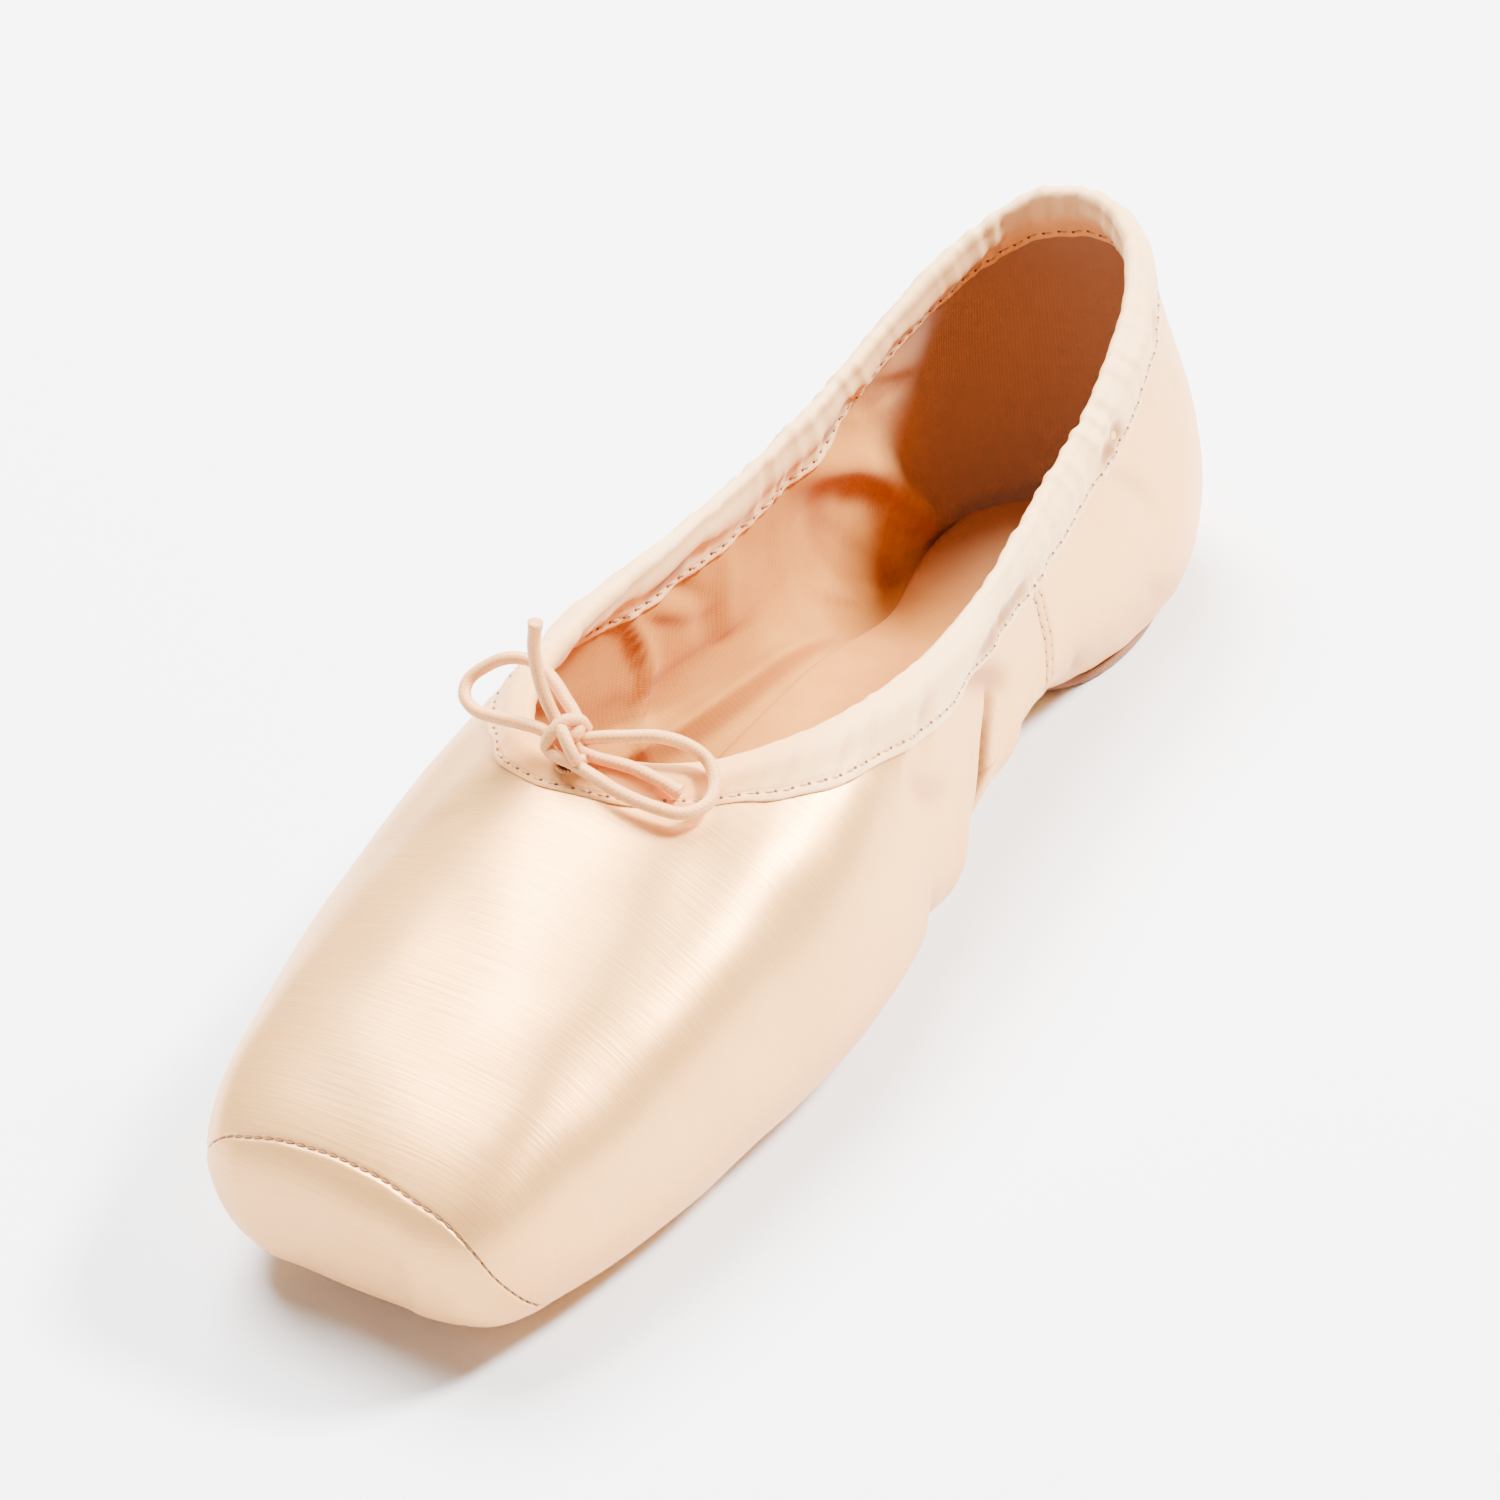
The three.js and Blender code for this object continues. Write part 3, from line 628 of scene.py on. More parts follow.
def relief(u, t, places, crease_scale):
    """Height of the satin over the outer face, in metres."""
    round_shoe, down = steps_of(u, t)
    per_u = np.linalg.norm(round_shoe, axis=-1)
    per_t = np.linalg.norm(down, axis=-1)
    size = np.abs(np.where(np.abs(u) > LAST, 2 * LAST - np.abs(u), u))
    x, y, z = places[..., 0], places[..., 1], places[..., 2]

    # the platform's seam: a groove, a slightly higher platform below it and cloth that puckers
    to_tip = (t - tip_seam_t(size)) * per_t
    on_tip = MM * (1 - smoothstep(TIP_SEAM_END - 0.25, TIP_SEAM_END + 0.1, size))
    platform = smoothstep(0, 0.35 * MM, to_tip) * np.exp(-np.maximum(to_tip, 0) / (9 * MM))
    pucker = ripple(x, (0.0046, 0.0029, 0.0067)) * np.exp(-np.abs(to_tip) / (2.2 * MM))
    height = on_tip * (0.22 * platform - 0.34 * bell(to_tip, 0.34 * MM) + 0.07 * pucker)

    # the side seam: a ridge with the seam in its middle, and a valley along each row of stitches
    away = np.abs(size - side_seam_u(t)) * per_u
    below = MM * smoothstep(0.1, 0.3, t)
    ridge = 0.26 * bell(away, 0.8 * MM) - 0.2 * bell(away, 0.16 * MM)
    valley = 0.14 * bell(away - 2.2 * MM, 0.9 * MM) - 0.3 * bell(away - SEAM_ROW, 0.3 * MM)
    pucker = ripple(z + 0.3 * x, (0.0061, 0.0039, 0.0093), 0.6) * np.exp(-away / (3.5 * MM))
    height += below * (ridge + valley + 0.12 * pucker)

    # small folds below the drawn casing
    fall = t * per_t
    drawn = smoothstep(5.0, 8.0, size) * smoothstep(6 * MM, 10 * MM, fall)
    fade = np.exp(-np.maximum(fall - 10 * MM, 0) / (7 * MM))
    small = 0.42 * drawn * fade * gather(np.interp(u, COLLAR_U, COLLAR_S) * 0.62)

    # cloth over paste is never quite even
    swell = (
        np.sin(190 * x + 60 * y + 1.1) * np.sin(130 * y - 90 * z + 0.4)
        + 0.7 * np.sin(260 * x - 110 * z + 2.0) * np.sin(210 * y + 40 * x + 0.9)
        + 0.5 * np.sin(330 * y + 240 * z + 0.2) * np.sin(170 * x + 2.4)
    )
    return height + crease_scale * (MM * (small + 0.13 * swell) - folded(places, CREASES))


def lining_relief(u, t, places, crease_scale):
    """Height of the lining's folds, and of the seam where its pieces meet, towards the foot."""
    s = np.interp(u, COLLAR_U, COLLAR_S)
    y, z = places[..., 1], places[..., 2]
    fall = t * np.linalg.norm(steps_of(u, t)[1], axis=-1)
    free = smoothstep(2 * MM, 12 * MM, fall) * (1 - smoothstep(1.75, 2.05, t))
    soft = smoothstep(5.0, 7.4, np.abs(u)) * (1 - 0.75 * smoothstep(11.2, 12.4, np.abs(u)))
    wave = ripple(s + 0.15 * z, (0.0145, 0.0231, 0.0092), 0.4)
    swell = np.sin(170 * y + 60 * z) * np.sin(140 * z)
    height = soft * (0.3 * wave + 0.32 * swell) * MM - 1.5 * folded(places, LINING_FOLDS)
    # its hollows stop short of the satin, and the satin's pleats push it towards the foot
    height = np.maximum(height, -0.7 * MM) + np.maximum(0, folded(places, CREASES) - 0.4 * MM)
    away = (np.abs(u) - LINING_SEAM) * 21 * MM
    seam = 0.3 * bell(away - 0.9 * MM, 0.8 * MM) - 0.35 * bell(away, 0.3 * MM)
    return crease_scale * free * (height + soft * seam * MM)


def lining_at(u, t, crease_scale=1.0):
    """Places on the finished lining and the directions out of it, towards the foot."""
    u, t = np.broadcast_arrays(np.asarray(u, float), np.asarray(t, float))
    places = outer_face(u, t)
    out = outward(u, t)
    depth = wall_at(u, t) + lining_relief(u, t, places, crease_scale)
    return places - out * depth[..., None], -out


def satin_at(u, t, crease_scale=1.0):
    """Places on the finished satin and the directions out of it."""
    u, t = np.broadcast_arrays(np.asarray(u, float), np.asarray(t, float))
    places = outer_face(u, t)
    out = outward(u, t)
    return places + out * relief(u, t, places, crease_scale)[..., None], out


# Meshes


def mesh_from_grid(name, grid, closed=False, uv=None, flip=False):
    """A mesh from rows and columns of points. Closed joins the last row to the first; uv then has
    one row more than the grid."""
    rows, columns = grid.shape[:2]
    spans = rows if closed else rows - 1
    i, j = np.meshgrid(np.arange(spans), np.arange(columns - 1), indexing="ij")
    corners = [(i, j), (i + 1, j), (i + 1, j + 1), (i, j + 1)]
    if flip:
        corners.reverse()
    faces = np.stack([(a % rows) * columns + b for a, b in corners], -1).reshape(-1, 4)
    mesh = bpy.data.meshes.new(name)
    mesh.vertices.add(rows * columns)
    mesh.vertices.foreach_set("co", grid.reshape(-1).astype(np.float32))
    mesh.loops.add(faces.size)
    mesh.loops.foreach_set("vertex_index", faces.reshape(-1).astype(np.int32))
    mesh.polygons.add(len(faces))
    mesh.polygons.foreach_set("loop_start", np.arange(0, faces.size, 4, dtype=np.int32))
    mesh.update(calc_edges=True)
    if uv is not None:
        layer = mesh.uv_layers.new(name="UVMap")
        values = np.stack([uv[a, b] for a, b in corners], -2).reshape(-1)
        layer.data.foreach_set("uv", values.astype(np.float32))
    mesh.shade_smooth()
    return mesh


def mesh_from_parts(name, parts):
    """One mesh from (points, faces) pairs."""
    points, faces, start = [], [], 0
    for part_points, part_faces in parts:
        points.append(np.asarray(part_points, float).reshape(-1, 3))
        faces += [tuple(int(k) + start for k in face) for face in part_faces]
        start += len(points[-1])
    mesh = bpy.data.meshes.new(name)
    mesh.from_pydata(np.concatenate(points).tolist(), [], faces)
    mesh.shade_smooth()
    return mesh


def set_mark(mesh, values, name="mark"):
    """Gives the mesh's points the share of the marked colour that their material shows."""
    values = np.asarray(values, np.float32).reshape(-1)
    mesh.attributes.new(name, "FLOAT", "POINT").data.foreach_set("value", values)


def shown(name, mesh, material, replaces=()):
    """Puts the mesh in the scene as a piece of the shoe."""
    piece = bpy.data.objects.new(name, mesh)
    bpy.context.scene.collection.objects.link(piece)
    for one in material if isinstance(material, (list, tuple)) else [material]:
        mesh.materials.append(one)
    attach(piece, "root")
    if replaces:
        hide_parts(*replaces)
    return piece


def resample(points, step=None, count=None):
    """Points at equal distances along a line, and that line's length."""
    distance = walked(points)
    if count is None:
        count = max(2, int(round(distance[-1] / step)) + 1)
    return along_line(np.linspace(0, distance[-1], count), distance, points), distance[-1]


def along_line(at, distance, values):
    """The values, such as points, at those distances along a line."""
    return np.stack([np.interp(at, distance, values[:, k]) for k in range(3)], 1)


def smooth_line(points, per_span=12):
    """A centripetal Catmull-Rom curve through the points."""
    points = [np.asarray(p, float) for p in points]
    points = [2 * points[0] - points[1], *points, 2 * points[-1] - points[-2]]
    line = []
    for p0, p1, p2, p3 in zip(points, points[1:], points[2:], points[3:]):
        knots = [0.0]
        for a, b in ((p0, p1), (p1, p2), (p2, p3)):
            knots.append(knots[-1] + max(np.linalg.norm(b - a), 1e-9) ** 0.5)
        t0, t1, t2, t3 = knots
        for t in np.linspace(t1, t2, per_span, endpoint=False):
            a1 = p0 * (t1 - t) / (t1 - t0) + p1 * (t - t0) / (t1 - t0)
            a2 = p1 * (t2 - t) / (t2 - t1) + p2 * (t - t1) / (t2 - t1)
            a3 = p2 * (t3 - t) / (t3 - t2) + p3 * (t - t2) / (t3 - t2)
            b1 = a1 * (t2 - t) / (t2 - t0) + a2 * (t - t0) / (t2 - t0)
            b2 = a2 * (t3 - t) / (t3 - t1) + a3 * (t - t1) / (t3 - t1)
            line.append(b1 * (t2 - t) / (t2 - t1) + b2 * (t - t1) / (t2 - t1))
    line.append(points[-2])
    return np.array(line)


def ring_of(centre, across, up, angles, radius=1.0):
    """Points round a centre, which itself may be a line of points."""
    turned = np.cos(angles)[:, None, None] * across + np.sin(angles)[:, None, None] * up
    return centre + radius * turned


def stitches(line, normals, stitch, gap, thread, sink=0.3, start=0.0):
    """Threads of one seam: short bars along the line whose ends dip into the cloth. Start, in
    steps of stitch and gap, moves them along."""
    distance = walked(line)
    count = max(1, int(distance[-1] / (stitch + gap)))
    pitch = distance[-1] / count
    rings, sides = 6, 6
    bend = np.array([-0.9, 0.25, 0.75, 0.75, 0.25, -0.9]) * thread * 0.5 - sink * thread * 0.5
    radius = np.array([0.55, 0.95, 1, 1, 0.95, 0.55])[:, None] * thread / 2
    angles = np.linspace(0, 2 * np.pi, sides, endpoint=False)
    corners = [(r, s, (s + 1) % sides) for r in range(rings - 1) for s in range(sides)]
    faces = [
        (r * sides + s, r * sides + after, (r + 1) * sides + after, (r + 1) * sides + s)
        for r, s, after in corners
    ]
    faces.append(tuple(range(sides - 1, -1, -1)))
    faces.append(tuple((rings - 1) * sides + s for s in range(sides)))
    parts = []
    for k in range(count):
        first = (k + start) * pitch + 0.5 * gap
        if first + stitch > distance[-1] + 1e-9:
            continue
        at = np.linspace(first, first + pitch - gap, rings)
        centre = along_line(at, distance, line)
        up = unit(along_line(at, distance, normals))
        side = np.cross(unit(np.gradient(centre, axis=0)), up)
        bar = ring_of(centre + up * bend[:, None], side, up, angles, radius)
        parts.append((bar.transpose(1, 0, 2), faces))
    return parts


def seam_parts(line, normals, stitch, gap, thread):
    """A row of stitches, and small dark bars sunk between them: painted shade in the needle holes.
    """
    row = stitches(line, normals, stitch, gap, thread)
    share = stitch / (stitch + gap)
    # painted shade: dark bars sunk into the needle holes between the stitches
    dips = stitches(line, normals, gap, stitch, thread * 1.1, 0.5, share / 2)
    return row, dips


def tube(line, radius, sides=14):
    """Points and uv of a round string along the line, and its direction."""
    along = unit(np.gradient(line, axis=0))
    side = np.zeros_like(along)
    side[0] = unit(np.cross(along[0], (0.31, 0.2, 0.93)))
    for k in range(1, len(line)):
        side[k] = unit(side[k - 1] - along[k] * (side[k - 1] @ along[k]))
    angles = np.linspace(0, 2 * np.pi, sides, endpoint=False)
    grid = ring_of(line, side, np.cross(along, side), angles, radius)
    turns = np.linspace(0, 1, sides + 1)
    uv = np.stack(np.broadcast_arrays(turns[:, None], walked(line)[None]), -1)
    return grid, uv, along


# Materials


def toned(base, red, green, blue):
    """The base colour with each of its parts scaled."""
    return (base[0] * red, base[1] * green, base[2] * blue, 1.0)


def add(tree, kind, inputs=(), **settings):
    """Adds a node with its settings. Its inputs come by name or in order. One that is a node is
    linked from that node's first output, one that is a socket is linked, and any other is set."""
    node = tree.nodes.new(kind)
    for name, value in settings.items():
        setattr(node, name, value)
    for key, value in inputs.items() if isinstance(inputs, dict) else enumerate(inputs):
        if isinstance(value, bpy.types.Node):
            value = value.outputs[0]
        if isinstance(value, bpy.types.NodeSocket):
            tree.links.new(value, node.inputs[key])
        else:
            node.inputs[key].default_value = value
    return node


def new_material(name):
    """An empty material and its tree."""
    material = bpy.data.materials.new(name)
    material.use_nodes = True
    material.node_tree.nodes.clear()
    return material, material.node_tree


def surface(tree, inputs):
    """Ends a material's tree with its shader."""
    shader = add(tree, "ShaderNodeBsdfPrincipled", inputs)
    add(tree, "ShaderNodeOutputMaterial", {"Surface": shader})


def once(name, make, *values):
    """The material of that name, made the first time that it is asked for."""
    return bpy.data.materials.get(name) or make(name, *values)


def satin_material(name, colours):
    """Woven polyester satin. Its long floating threads all lie one way, which gives soft bands of
    light that run across them, and painted shade, a deep warm tone, where it folds in on itself and
    beside the side seams' stitches."""
    material, tree = new_material(name)
    uv = add(tree, "ShaderNodeUVMap", uv_map="UVMap")
    # threads lie 0.2 mm apart, drawn at 0.55 mm to show; UV is in metres, across the threads first
    threads = {"Vector": uv, "Scale": (1 / (0.55 * MM), 1 / (14 * MM), 1)}
    threads = add(tree, "ShaderNodeMapping", threads)
    weave = {"Vector": threads, "Scale": 1.0, "Detail": 3.0, "Roughness": 0.6}
    weave = add(tree, "ShaderNodeTexNoise", weave)
    # a thicker thread every few millimetres
    slubs = {"Vector": uv, "Scale": (1 / (2.6 * MM), 1 / (34 * MM), 1)}
    slubs = add(tree, "ShaderNodeMapping", slubs)
    slubs = {"Vector": slubs, "Scale": 1.0, "Detail": 2.0, "Roughness": 0.5}
    slubs = add(tree, "ShaderNodeTexNoise", slubs)
    place = add(tree, "ShaderNodeTexCoord").outputs["Object"]
    dye = {"Vector": place, "Scale": 1 / (38.5 * MM), "Detail": 3.0, "Roughness": 0.55}
    dye = add(tree, "ShaderNodeTexNoise", dye)
    dye = add(tree, "ShaderNodeMapRange", (dye, 0.35, 0.7))
    thick = add(tree, "ShaderNodeMapRange", (slubs, 0.2, 0.8, 0.35, 0.65))
    tone = add(tree, "ShaderNodeMath", (dye, thick), operation="MULTIPLY")
    dyed = {FACTOR: tone, FIRST: colours.satin, SECOND: colours.satin_shade}
    dyed = add(tree, "ShaderNodeMix", dyed, data_type="RGBA").outputs[MIXED]
    # painted shade in the creases and beside the side seams' stitches, where the points' mark says
    crease = add(tree, "ShaderNodeAttribute", attribute_name="mark").outputs["Fac"]
    dyed = {FACTOR: crease, FIRST: dyed, SECOND: colours.satin_crease_shade}
    dyed = add(tree, "ShaderNodeMix", dyed, data_type="RGBA").outputs[MIXED]
    bump = {"Strength": 0.4, "Distance": 0.16 * MM, "Height": weave}
    bump = add(tree, "ShaderNodeBump", bump)
    bump = {"Strength": 0.12, "Distance": 0.25 * MM, "Height": slubs, "Normal": bump}
    bump = add(tree, "ShaderNodeBump", bump)
    surface(
        tree,
        {
            "Base Color": dyed,
            "Metallic": 0.48,
            "Roughness": add(tree, "ShaderNodeMapRange", (weave, 0.3, 0.7, 0.36, 0.46)),
            "IOR": 1.45,
            "Specular IOR Level": 0.4,
            "Anisotropic": 0.55,
            "Tangent": add(tree, "ShaderNodeTangent", direction_type="UV_MAP", uv_map="UVMap"),
            "Sheen Weight": 0.05,
            "Sheen Roughness": 0.4,
            "Normal": bump,
        },
    )
    return material


def cloth_material(name, base, shade, pitch, strength, roughness, sheen, marks):
    """Plain woven cotton: dull, with a small even grain and a soft edge light. Marks are colours
    laid over it, such as painted shade, each by the name of the points' attribute that says where
    it shows."""
    material, tree = new_material(name)
    uv = add(tree, "ShaderNodeUVMap", uv_map="UVMap")
    grain = add(tree, "ShaderNodeMapping", {"Vector": uv, "Scale": (1 / pitch, 1 / pitch, 1)})
    wave = {"Vector": grain, "Scale": ONE_BAND, "Distortion": 0.5, "Detail": 1.0}
    warp = add(tree, "ShaderNodeTexWave", wave, bands_direction="X").outputs["Fac"]
    weft = add(tree, "ShaderNodeTexWave", wave, bands_direction="Y").outputs["Fac"]
    weave = add(tree, "ShaderNodeMath", (warp, weft), operation="MULTIPLY")
    place = add(tree, "ShaderNodeTexCoord").outputs["Object"]
    patches = {"Vector": place, "Scale": 1 / (20.8 * MM), "Detail": 4.0, "Roughness": 0.6}
    patches = add(tree, "ShaderNodeTexNoise", patches)
    worn = add(tree, "ShaderNodeMapRange", (patches, 0.38, 0.66))
    dyed = {FACTOR: worn, FIRST: base, SECOND: shade}
    dyed = add(tree, "ShaderNodeMix", dyed, data_type="RGBA").outputs[MIXED]
    for attribute, marked in marks.items():
        mark = add(tree, "ShaderNodeAttribute", attribute_name=attribute).outputs["Fac"]
        dyed = {FACTOR: mark, FIRST: dyed, SECOND: marked}
        dyed = add(tree, "ShaderNodeMix", dyed, data_type="RGBA").outputs[MIXED]
    bump = {"Strength": strength, "Distance": 0.15 * MM, "Height": weave}
    bump = add(tree, "ShaderNodeBump", bump)
    bump = {"Strength": 0.25, "Distance": 0.4 * MM, "Height": patches, "Normal": bump}
    bump = add(tree, "ShaderNodeBump", bump)
    surface(
        tree,
        {
            "Base Color": dyed,
            "Roughness": roughness,
            "IOR": 1.46,
            "Specular IOR Level": 0.3,
            "Sheen Weight": sheen,
            "Sheen Roughness": 0.5,
            "Normal": bump,
        },
    )
    return material


def leather_material(name, base, patch, roughness, groove=None):
    """Buffed sole leather: a fine nap, cloudy darker patches and next to no gloss. The grooves
    that are scored in it show its darker core."""
    material, tree = new_material(name)
    place = add(tree, "ShaderNodeTexCoord").outputs["Object"]
    clouds = {"Vector": place, "Scale": 1 / (16.1 * MM), "Detail": 5.0, "Roughness": 0.62}
    clouds = add(tree, "ShaderNodeTexNoise", {**clouds, "Distortion": 0.6})
    # pores of the grain side are about 0.3 mm apart, drawn at 0.45 mm to show
    pores = add(tree, "ShaderNodeTexVoronoi", {"Vector": place, "Scale": 1 / (0.45 * MM)})
    nap = {"Vector": place, "Scale": 1 / (0.8 * MM), "Detail": 4.0}
    nap = add(tree, "ShaderNodeTexNoise", nap)
    cloud = add(tree, "ShaderNodeMapRange", (clouds, 0.46, 0.72))
    speck = add(tree, "ShaderNodeMapRange", (nap, 0.3, 0.75, 0.0, 0.22))
    tone = add(tree, "ShaderNodeMath", (cloud, speck), operation="ADD", use_clamp=True)
    dyed = {FACTOR: tone, FIRST: base, SECOND: patch}
    dyed = add(tree, "ShaderNodeMix", dyed, data_type="RGBA").outputs[MIXED]
    if groove:
        mark = add(tree, "ShaderNodeAttribute", attribute_name="mark").outputs["Fac"]
        mark = add(tree, "ShaderNodeMapRange", (mark, 0.25, 0.75))
        dyed = {FACTOR: mark, FIRST: dyed, SECOND: groove}
        dyed = add(tree, "ShaderNodeMix", dyed, data_type="RGBA").outputs[MIXED]
    bump = {"Strength": 0.25, "Distance": 0.1 * MM, "Height": pores}
    bump = add(tree, "ShaderNodeBump", bump)
    bump = {"Strength": 0.3, "Distance": 0.16 * MM, "Height": nap, "Normal": bump}
    bump = add(tree, "ShaderNodeBump", bump)
    dull = (nap, 0.3, 0.7, roughness - 0.06, roughness + 0.1)
    surface(
        tree,
        {
            "Base Color": dyed,
            "Roughness": add(tree, "ShaderNodeMapRange", dull),
            "IOR": 1.5,
            "Specular IOR Level": 0.35,
            "Sheen Weight": 0.15,
            "Normal": bump,
        },
    )
    return material


def thread_material(name, base):
    """Twisted thread, or the painted shade in holes that a needle or an awl made in cloth and
    leather:
    dull, with the light broken up by fibres."""
    material, tree = new_material(name)
    place = add(tree, "ShaderNodeTexCoord").outputs["Object"]
    fibres = {"Vector": place, "Scale": 1 / (0.5 * MM), "Detail": 2.0}
    fibres = add(tree, "ShaderNodeTexNoise", fibres)
    dark = add(tree, "ShaderNodeMapRange", (fibres, 0.4, 0.75))
    dyed = {FACTOR: dark, FIRST: base, SECOND: toned(base, 0.72, 0.68, 0.62)}
    bump = {"Strength": 0.4, "Distance": 0.05 * MM, "Height": fibres}
    surface(
        tree,
        {
            "Base Color": add(tree, "ShaderNodeMix", dyed, data_type="RGBA").outputs[MIXED],
            "Roughness": 0.62,
            "IOR": 1.5,
            "Specular IOR Level": 0.35,
            "Sheen Weight": 0.2,
            "Normal": add(tree, "ShaderNodeBump", bump),
        },
    )
    return material


def cord_material(name, base, diameter):
    """Round braided cotton cord: small plaits that wind round it both ways, with a slight gloss."""
    material, tree = new_material(name)
    uv = add(tree, "ShaderNodeUVMap", uv_map="UVMap")
    split = add(tree, "ShaderNodeSeparateXYZ", (uv,))
    # six fine plaits each way round, 0.8 mm apart along the string
    around = (split.outputs["X"], 2 * math.pi * 6)
    around = add(tree, "ShaderNodeMath", around, operation="MULTIPLY")
    along = (split.outputs["Y"], 2 * math.pi / (0.4 * diameter))
    along = add(tree, "ShaderNodeMath", along, operation="MULTIPLY")
    plaits = []
    for way in ("ADD", "SUBTRACT"):
        turned = add(tree, "ShaderNodeMath", (around, along), operation=way)
        plaits.append(add(tree, "ShaderNodeMath", (turned,), operation="SINE"))
    braid = add(tree, "ShaderNodeMath", plaits, operation="MAXIMUM")
    # painted shade: the braid a little darker where it is low, between the plaits
    low = add(tree, "ShaderNodeMapRange", (braid, -0.6, 0.7, 1.0, 0.0))
    dyed = {FACTOR: low, FIRST: base, SECOND: toned(base, 0.94, 0.9, 0.86)}
    bump = {"Strength": 0.3, "Distance": 0.06 * MM, "Height": braid}
    surface(
        tree,
        {
            "Base Color": add(tree, "ShaderNodeMix", dyed, data_type="RGBA").outputs[MIXED],
            "Roughness": 0.48,
            "IOR": 1.5,
            "Specular IOR Level": 0.45,
            "Sheen Weight": 0.2,
            "Normal": add(tree, "ShaderNodeBump", bump),
        },
    )
    return material


def floor_material(name, base):
    """Matt painted studio floor: even and pale, with a faint mottle."""
    material, tree = new_material(name)
    place = add(tree, "ShaderNodeTexCoord").outputs["Object"]
    mottle = {"Vector": place, "Scale": 1 / (333 * MM), "Detail": 2.0}
    mottle = add(tree, "ShaderNodeTexNoise", mottle)
    paint = {FACTOR: mottle, FIRST: base, SECOND: toned(base, 0.97, 0.97, 0.975)}
    paint = add(tree, "ShaderNodeMix", paint, data_type="RGBA").outputs[MIXED]
    surface(tree, {"Base Color": paint, "Roughness": 0.7, "Specular IOR Level": 0.2})
    return material


def satin_finish(context):
    """The satin that the upper and the heel tape share."""
    return once("polyester_satin_woven", satin_material, context.scene.pointe_shoe_colours)


def thread_finish(context):
    """The pale thread that most of the seams share."""
    base = context.scene.pointe_shoe_colours.thread
    return once("cotton_thread_twisted", thread_material, base)


def show_seam(context, name, rows):
    """Shows rows of stitches and the painted shade in their needle holes as one piece each."""
    hole = context.scene.pointe_shoe_colours.needle_hole
    hole_shade = once("cotton_cloth_pierced", thread_material, hole)
    for k, kind, material in (
        (0, "stitches", thread_finish(context)),
        (1, "needle_hole_shade", hole_shade),
    ):
        mesh = mesh_from_parts(f"{name}_{kind}", [part for row in rows for part in row[k]])
        shown(mesh.name, mesh, material)


# Operators


class POINTESHOE_OT_stage(bpy.types.Operator):
    """Makes the floor, the lights and the camera."""

    bl_idname = "pointe_shoe.stage"
    bl_label = "Stage"

    def execute(self, context):
        colours = context.scene.pointe_shoe_colours
        bpy.ops.mesh.primitive_plane_add(size=12, location=(0, 0, 0))
        floor = context.object
        floor.name = "floor"
        floor.data.materials.append(floor_material("studio_floor_paint", colours.floor))

        camera = bpy.data.objects.new("camera", bpy.data.cameras.new("camera"))
        context.scene.collection.objects.link(camera)
        camera.data.sensor_width = 36
        camera.data.lens = 80
        camera.data.clip_start = 0.01
        camera.location = CAMERA_EYE
        look = (Vector(CAMERA_TARGET) - Vector(CAMERA_EYE)).to_track_quat("-Z", "Y").to_matrix()
        turned = look @ Matrix.Rotation(CAMERA_ROLL, 3, "Z")
        camera.rotation_euler = turned.to_euler()
        context.scene.camera = camera

        for name, power, size, distance, direction in LIGHTS:
            data = bpy.data.lights.new(name, "AREA")
            data.energy = power
            data.size = size
            lamp = bpy.data.objects.new(name, data)
            context.scene.collection.objects.link(lamp)
            way = (turned @ Vector(direction)).normalized()
            lamp.location = Vector((0, 0, 0.03)) + way * distance
            lamp.rotation_euler = way.to_track_quat("Z", "Y").to_euler()

        world = bpy.data.worlds.new("studio")
        world.use_nodes = True
        sky = world.node_tree.nodes["Background"]
        sky.inputs["Color"].default_value = linear(STUDIO_WALLS)
        sky.inputs["Strength"].default_value = 0.17
        context.scene.world = world
        return {"FINISHED"}


